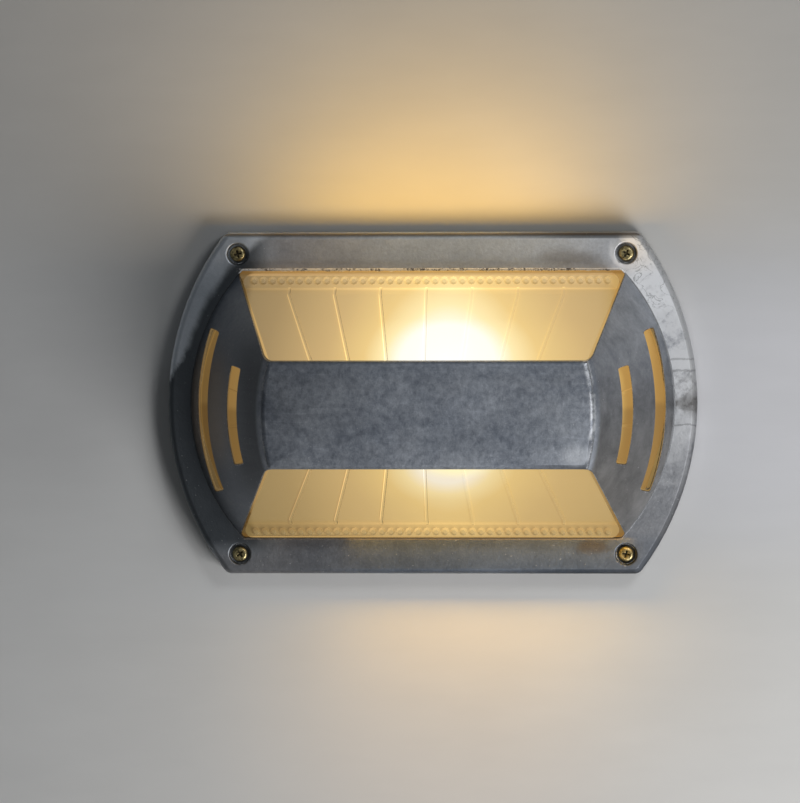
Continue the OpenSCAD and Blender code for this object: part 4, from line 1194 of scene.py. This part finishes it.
# %% Makers of finishes
def plated_metal(name, dark, light, roughness, patch_mm=3.0):
    """Metal with soft tarnish patches and fine scratches drawn one way."""
    finish = Finish(name)
    tarnish_and_shade = finish.noise(patch_mm, 4, 0.6, warp=0.4)
    scratch = finish.noise(0.5, 3, 0.7, stretch=(0.08, 1, 1), shift=6)
    finish.set(
        base_color=finish.mix(dark, light, finish.step(tarnish_and_shade * 0.7 + scratch * 0.3, 0.35, 0.65)),
        metallic=0.95,
        roughness=roughness + (1 - tarnish_and_shade) * 0.15 + scratch * 0.08,
        normal=finish.bump(scratch + tarnish_and_shade * 0.5, 0.03),
    )
    return finish


def moulding(name, dark, light, roughness, pore_mm=0.4, depth_mm=0.02):
    """Plastic or rubber with slight flow marks and a fine pored skin."""
    finish = Finish(name)
    flow = finish.noise(9, 4, 0.55, stretch=(1, 1, 0.4), shift=2)
    pores = finish.noise(pore_mm, 2, 0.5)
    finish.set(
        base_color=finish.mix(dark, light, finish.step(flow * 0.75 + pores * 0.25, 0.35, 0.65)),
        roughness=roughness + pores * 0.12,
        normal=finish.bump(pores + flow, depth_mm),
    )
    return finish


def dress(finish, *nodes):
    """Gives a finish to CAD pieces that stay as they are."""
    for node in nodes:
        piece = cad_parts[node]
        for place in piece.material_slots:
            place.material = finish.material
        if not piece.material_slots:
            piece.data.materials.append(finish.material)
    print(finish.material.name, "on", ", ".join(nodes))


print("makers of finishes ready")

# %% [markdown]
# Gasket and grommet differ only a little in tone and gloss, so one maker gives both.

# %% Rubber
gasket_rubber = moulding(
    "gasket_rubber", dark=(0.022, 0.022, 0.024), light=(0.05, 0.05, 0.052),
    roughness=0.62, pore_mm=0.5, depth_mm=0.04)
grommet_rubber = moulding(
    "grommet_rubber", dark=(0.018, 0.018, 0.018), light=(0.042, 0.040, 0.038),
    roughness=0.5, pore_mm=0.5, depth_mm=0.03)
dress(gasket_rubber, "glass_gasket")
dress(grommet_rubber, "cable_grommet")

# %% [markdown]
# ### Lampholder
# Its body is glazed porcelain: milky, very smooth, and with brown specks under the glaze. Specks
# are the highest peaks of a fine noise, so a narrow step near its top finds them. Shell, contact,
# bracket and screws are plated or bare metal from the maker above.

# %% Porcelain
PORCELAIN_LOW = (0.74, 0.72, 0.66)
PORCELAIN_HIGH = (0.84, 0.83, 0.79)
PORCELAIN_SPECK = (0.30, 0.25, 0.19)

porcelain = Finish("porcelain")
milk = porcelain.noise(5, 4, 0.6)
fleck = porcelain.step(porcelain.noise(0.7, 2, 0.5, shift=8), 0.71, 0.76)
glaze = porcelain.mix(PORCELAIN_LOW, PORCELAIN_HIGH, porcelain.step(milk, 0.35, 0.65))
porcelain.set(
    base_color=porcelain.mix(glaze, PORCELAIN_SPECK, fleck * 0.6),
    roughness=0.16 + milk * 0.08,
    normal=porcelain.bump(milk, 0.06),
)
dress(porcelain, "lampholder_body")

# %% Metals
brass = plated_metal("brass", dark=(0.50, 0.35, 0.13), light=(0.78, 0.60, 0.27), roughness=0.28)
bronze = plated_metal("bronze", dark=(0.42, 0.23, 0.11), light=(0.66, 0.42, 0.22), roughness=0.3)
zinc_steel = plated_metal(
    "zinc_steel", dark=(0.42, 0.44, 0.47), light=(0.68, 0.70, 0.73), roughness=0.3, patch_mm=4.0)
tinned_copper = plated_metal(
    "tinned_copper", dark=(0.52, 0.50, 0.48), light=(0.74, 0.73, 0.71), roughness=0.34)
dress(brass, "lampholder_shell", "holder_terminal_live", "holder_terminal_neutral",
      "terminal_tube_live", "terminal_tube_neutral", "terminal_tube_earth")
dress(bronze, "lampholder_contact")
dress(zinc_steel, "lampholder_bracket", "bracket_foot_screws", "bracket_head_screws",
      "holder_terminal_screws", "terminal_screws", "terminal_fixing_screws", "earth_washer",
      "earth_screw")
dress(tinned_copper, "earth_tag")

# %% [markdown]
# ### Lamp
# The lamp has a pearl glass envelope and a brass screw cap, which is one CAD piece. Its faces
# could be given two materials, but where the cap ends is known, so one finish serves both, split
# along the lamp.

# %% Lamp
CAP_END = -34.5
SOLDER_END = -58.5
CAP_DARK = (0.50, 0.37, 0.17)
CAP_PALE = (0.74, 0.58, 0.30)
SOLDER = (0.35, 0.35, 0.36)
PEARL_LOW = (0.82, 0.81, 0.76)
PEARL_HIGH = (0.90, 0.89, 0.86)
LAMP_GLOW = (0.95, 0.72, 0.36)
DARK = (0, 0, 0)

pearl = Finish("lamp")
right, out, up = pearl.axes_mm()
cap = pearl.step(right, CAP_END + 0.2, CAP_END - 0.2)
solder = pearl.step(right, SOLDER_END + 0.3, SOLDER_END - 0.3)
frost = pearl.noise(1.2, 3, 0.6)
wear = pearl.noise(3, 4, 0.6, shift=5)
shell = pearl.mix(CAP_DARK, CAP_PALE, pearl.step(wear, 0.35, 0.65))
shell = pearl.mix(shell, SOLDER, solder)
pearl.set(
    base_color=pearl.mix(pearl.mix(PEARL_LOW, PEARL_HIGH, frost), shell, cap),
    metallic=cap * 0.95,
    roughness=0.42 - cap * 0.12 + wear * 0.1,
    emission_color=pearl.tint(pearl.mix(LAMP_GLOW, DARK, cap), 1 - frost * 0.1),
    emission_strength=0.8,
    normal=pearl.bump(frost, 0.02),
)
dress(pearl, "lamp_bulb")

# %% [markdown]
# ### Wiring
# Live is brown, neutral is blue and earth is green and yellow. The earth's two colours run along
# it in stripes, which a sine of the distances out and up draws without unwrapping the lead.

# %% Wiring
EARTH_YELLOW = (0.72, 0.60, 0.05)
EARTH_GREEN = (0.04, 0.28, 0.07)

block = moulding(
    "block_moulding", dark=(0.66, 0.65, 0.60), light=(0.78, 0.77, 0.73), roughness=0.4)
live = moulding(
    "live_insulation", dark=(0.13, 0.055, 0.03), light=(0.20, 0.09, 0.05), roughness=0.42)
neutral = moulding(
    "neutral_insulation", dark=(0.02, 0.08, 0.30), light=(0.04, 0.13, 0.42), roughness=0.42)
earth = Finish("earth_insulation")
right, out, up = earth.axes_mm()
stripe = earth.step(abs(((out + up * 0.6) * 1.3).wave()), 0.62, 0.70)
gloss = earth.noise(0.6, 2, 0.5)
earth.set(
    base_color=earth.mix(EARTH_YELLOW, EARTH_GREEN, stripe),
    roughness=0.4 + gloss * 0.1,
    normal=earth.bump(gloss, 0.02),
)
dress(block, "terminal_block")
dress(live, "live_lead")
dress(neutral, "neutral_lead")
dress(earth, "earth_lead")

# %% [markdown]
# ## Measure and finish
# The CAD model's size is printed in millimetres.

# %% Measure and finish
print("light in mm:", [round((high - low) / MM, 1) for low, high in zip(*CAD_BOX)])
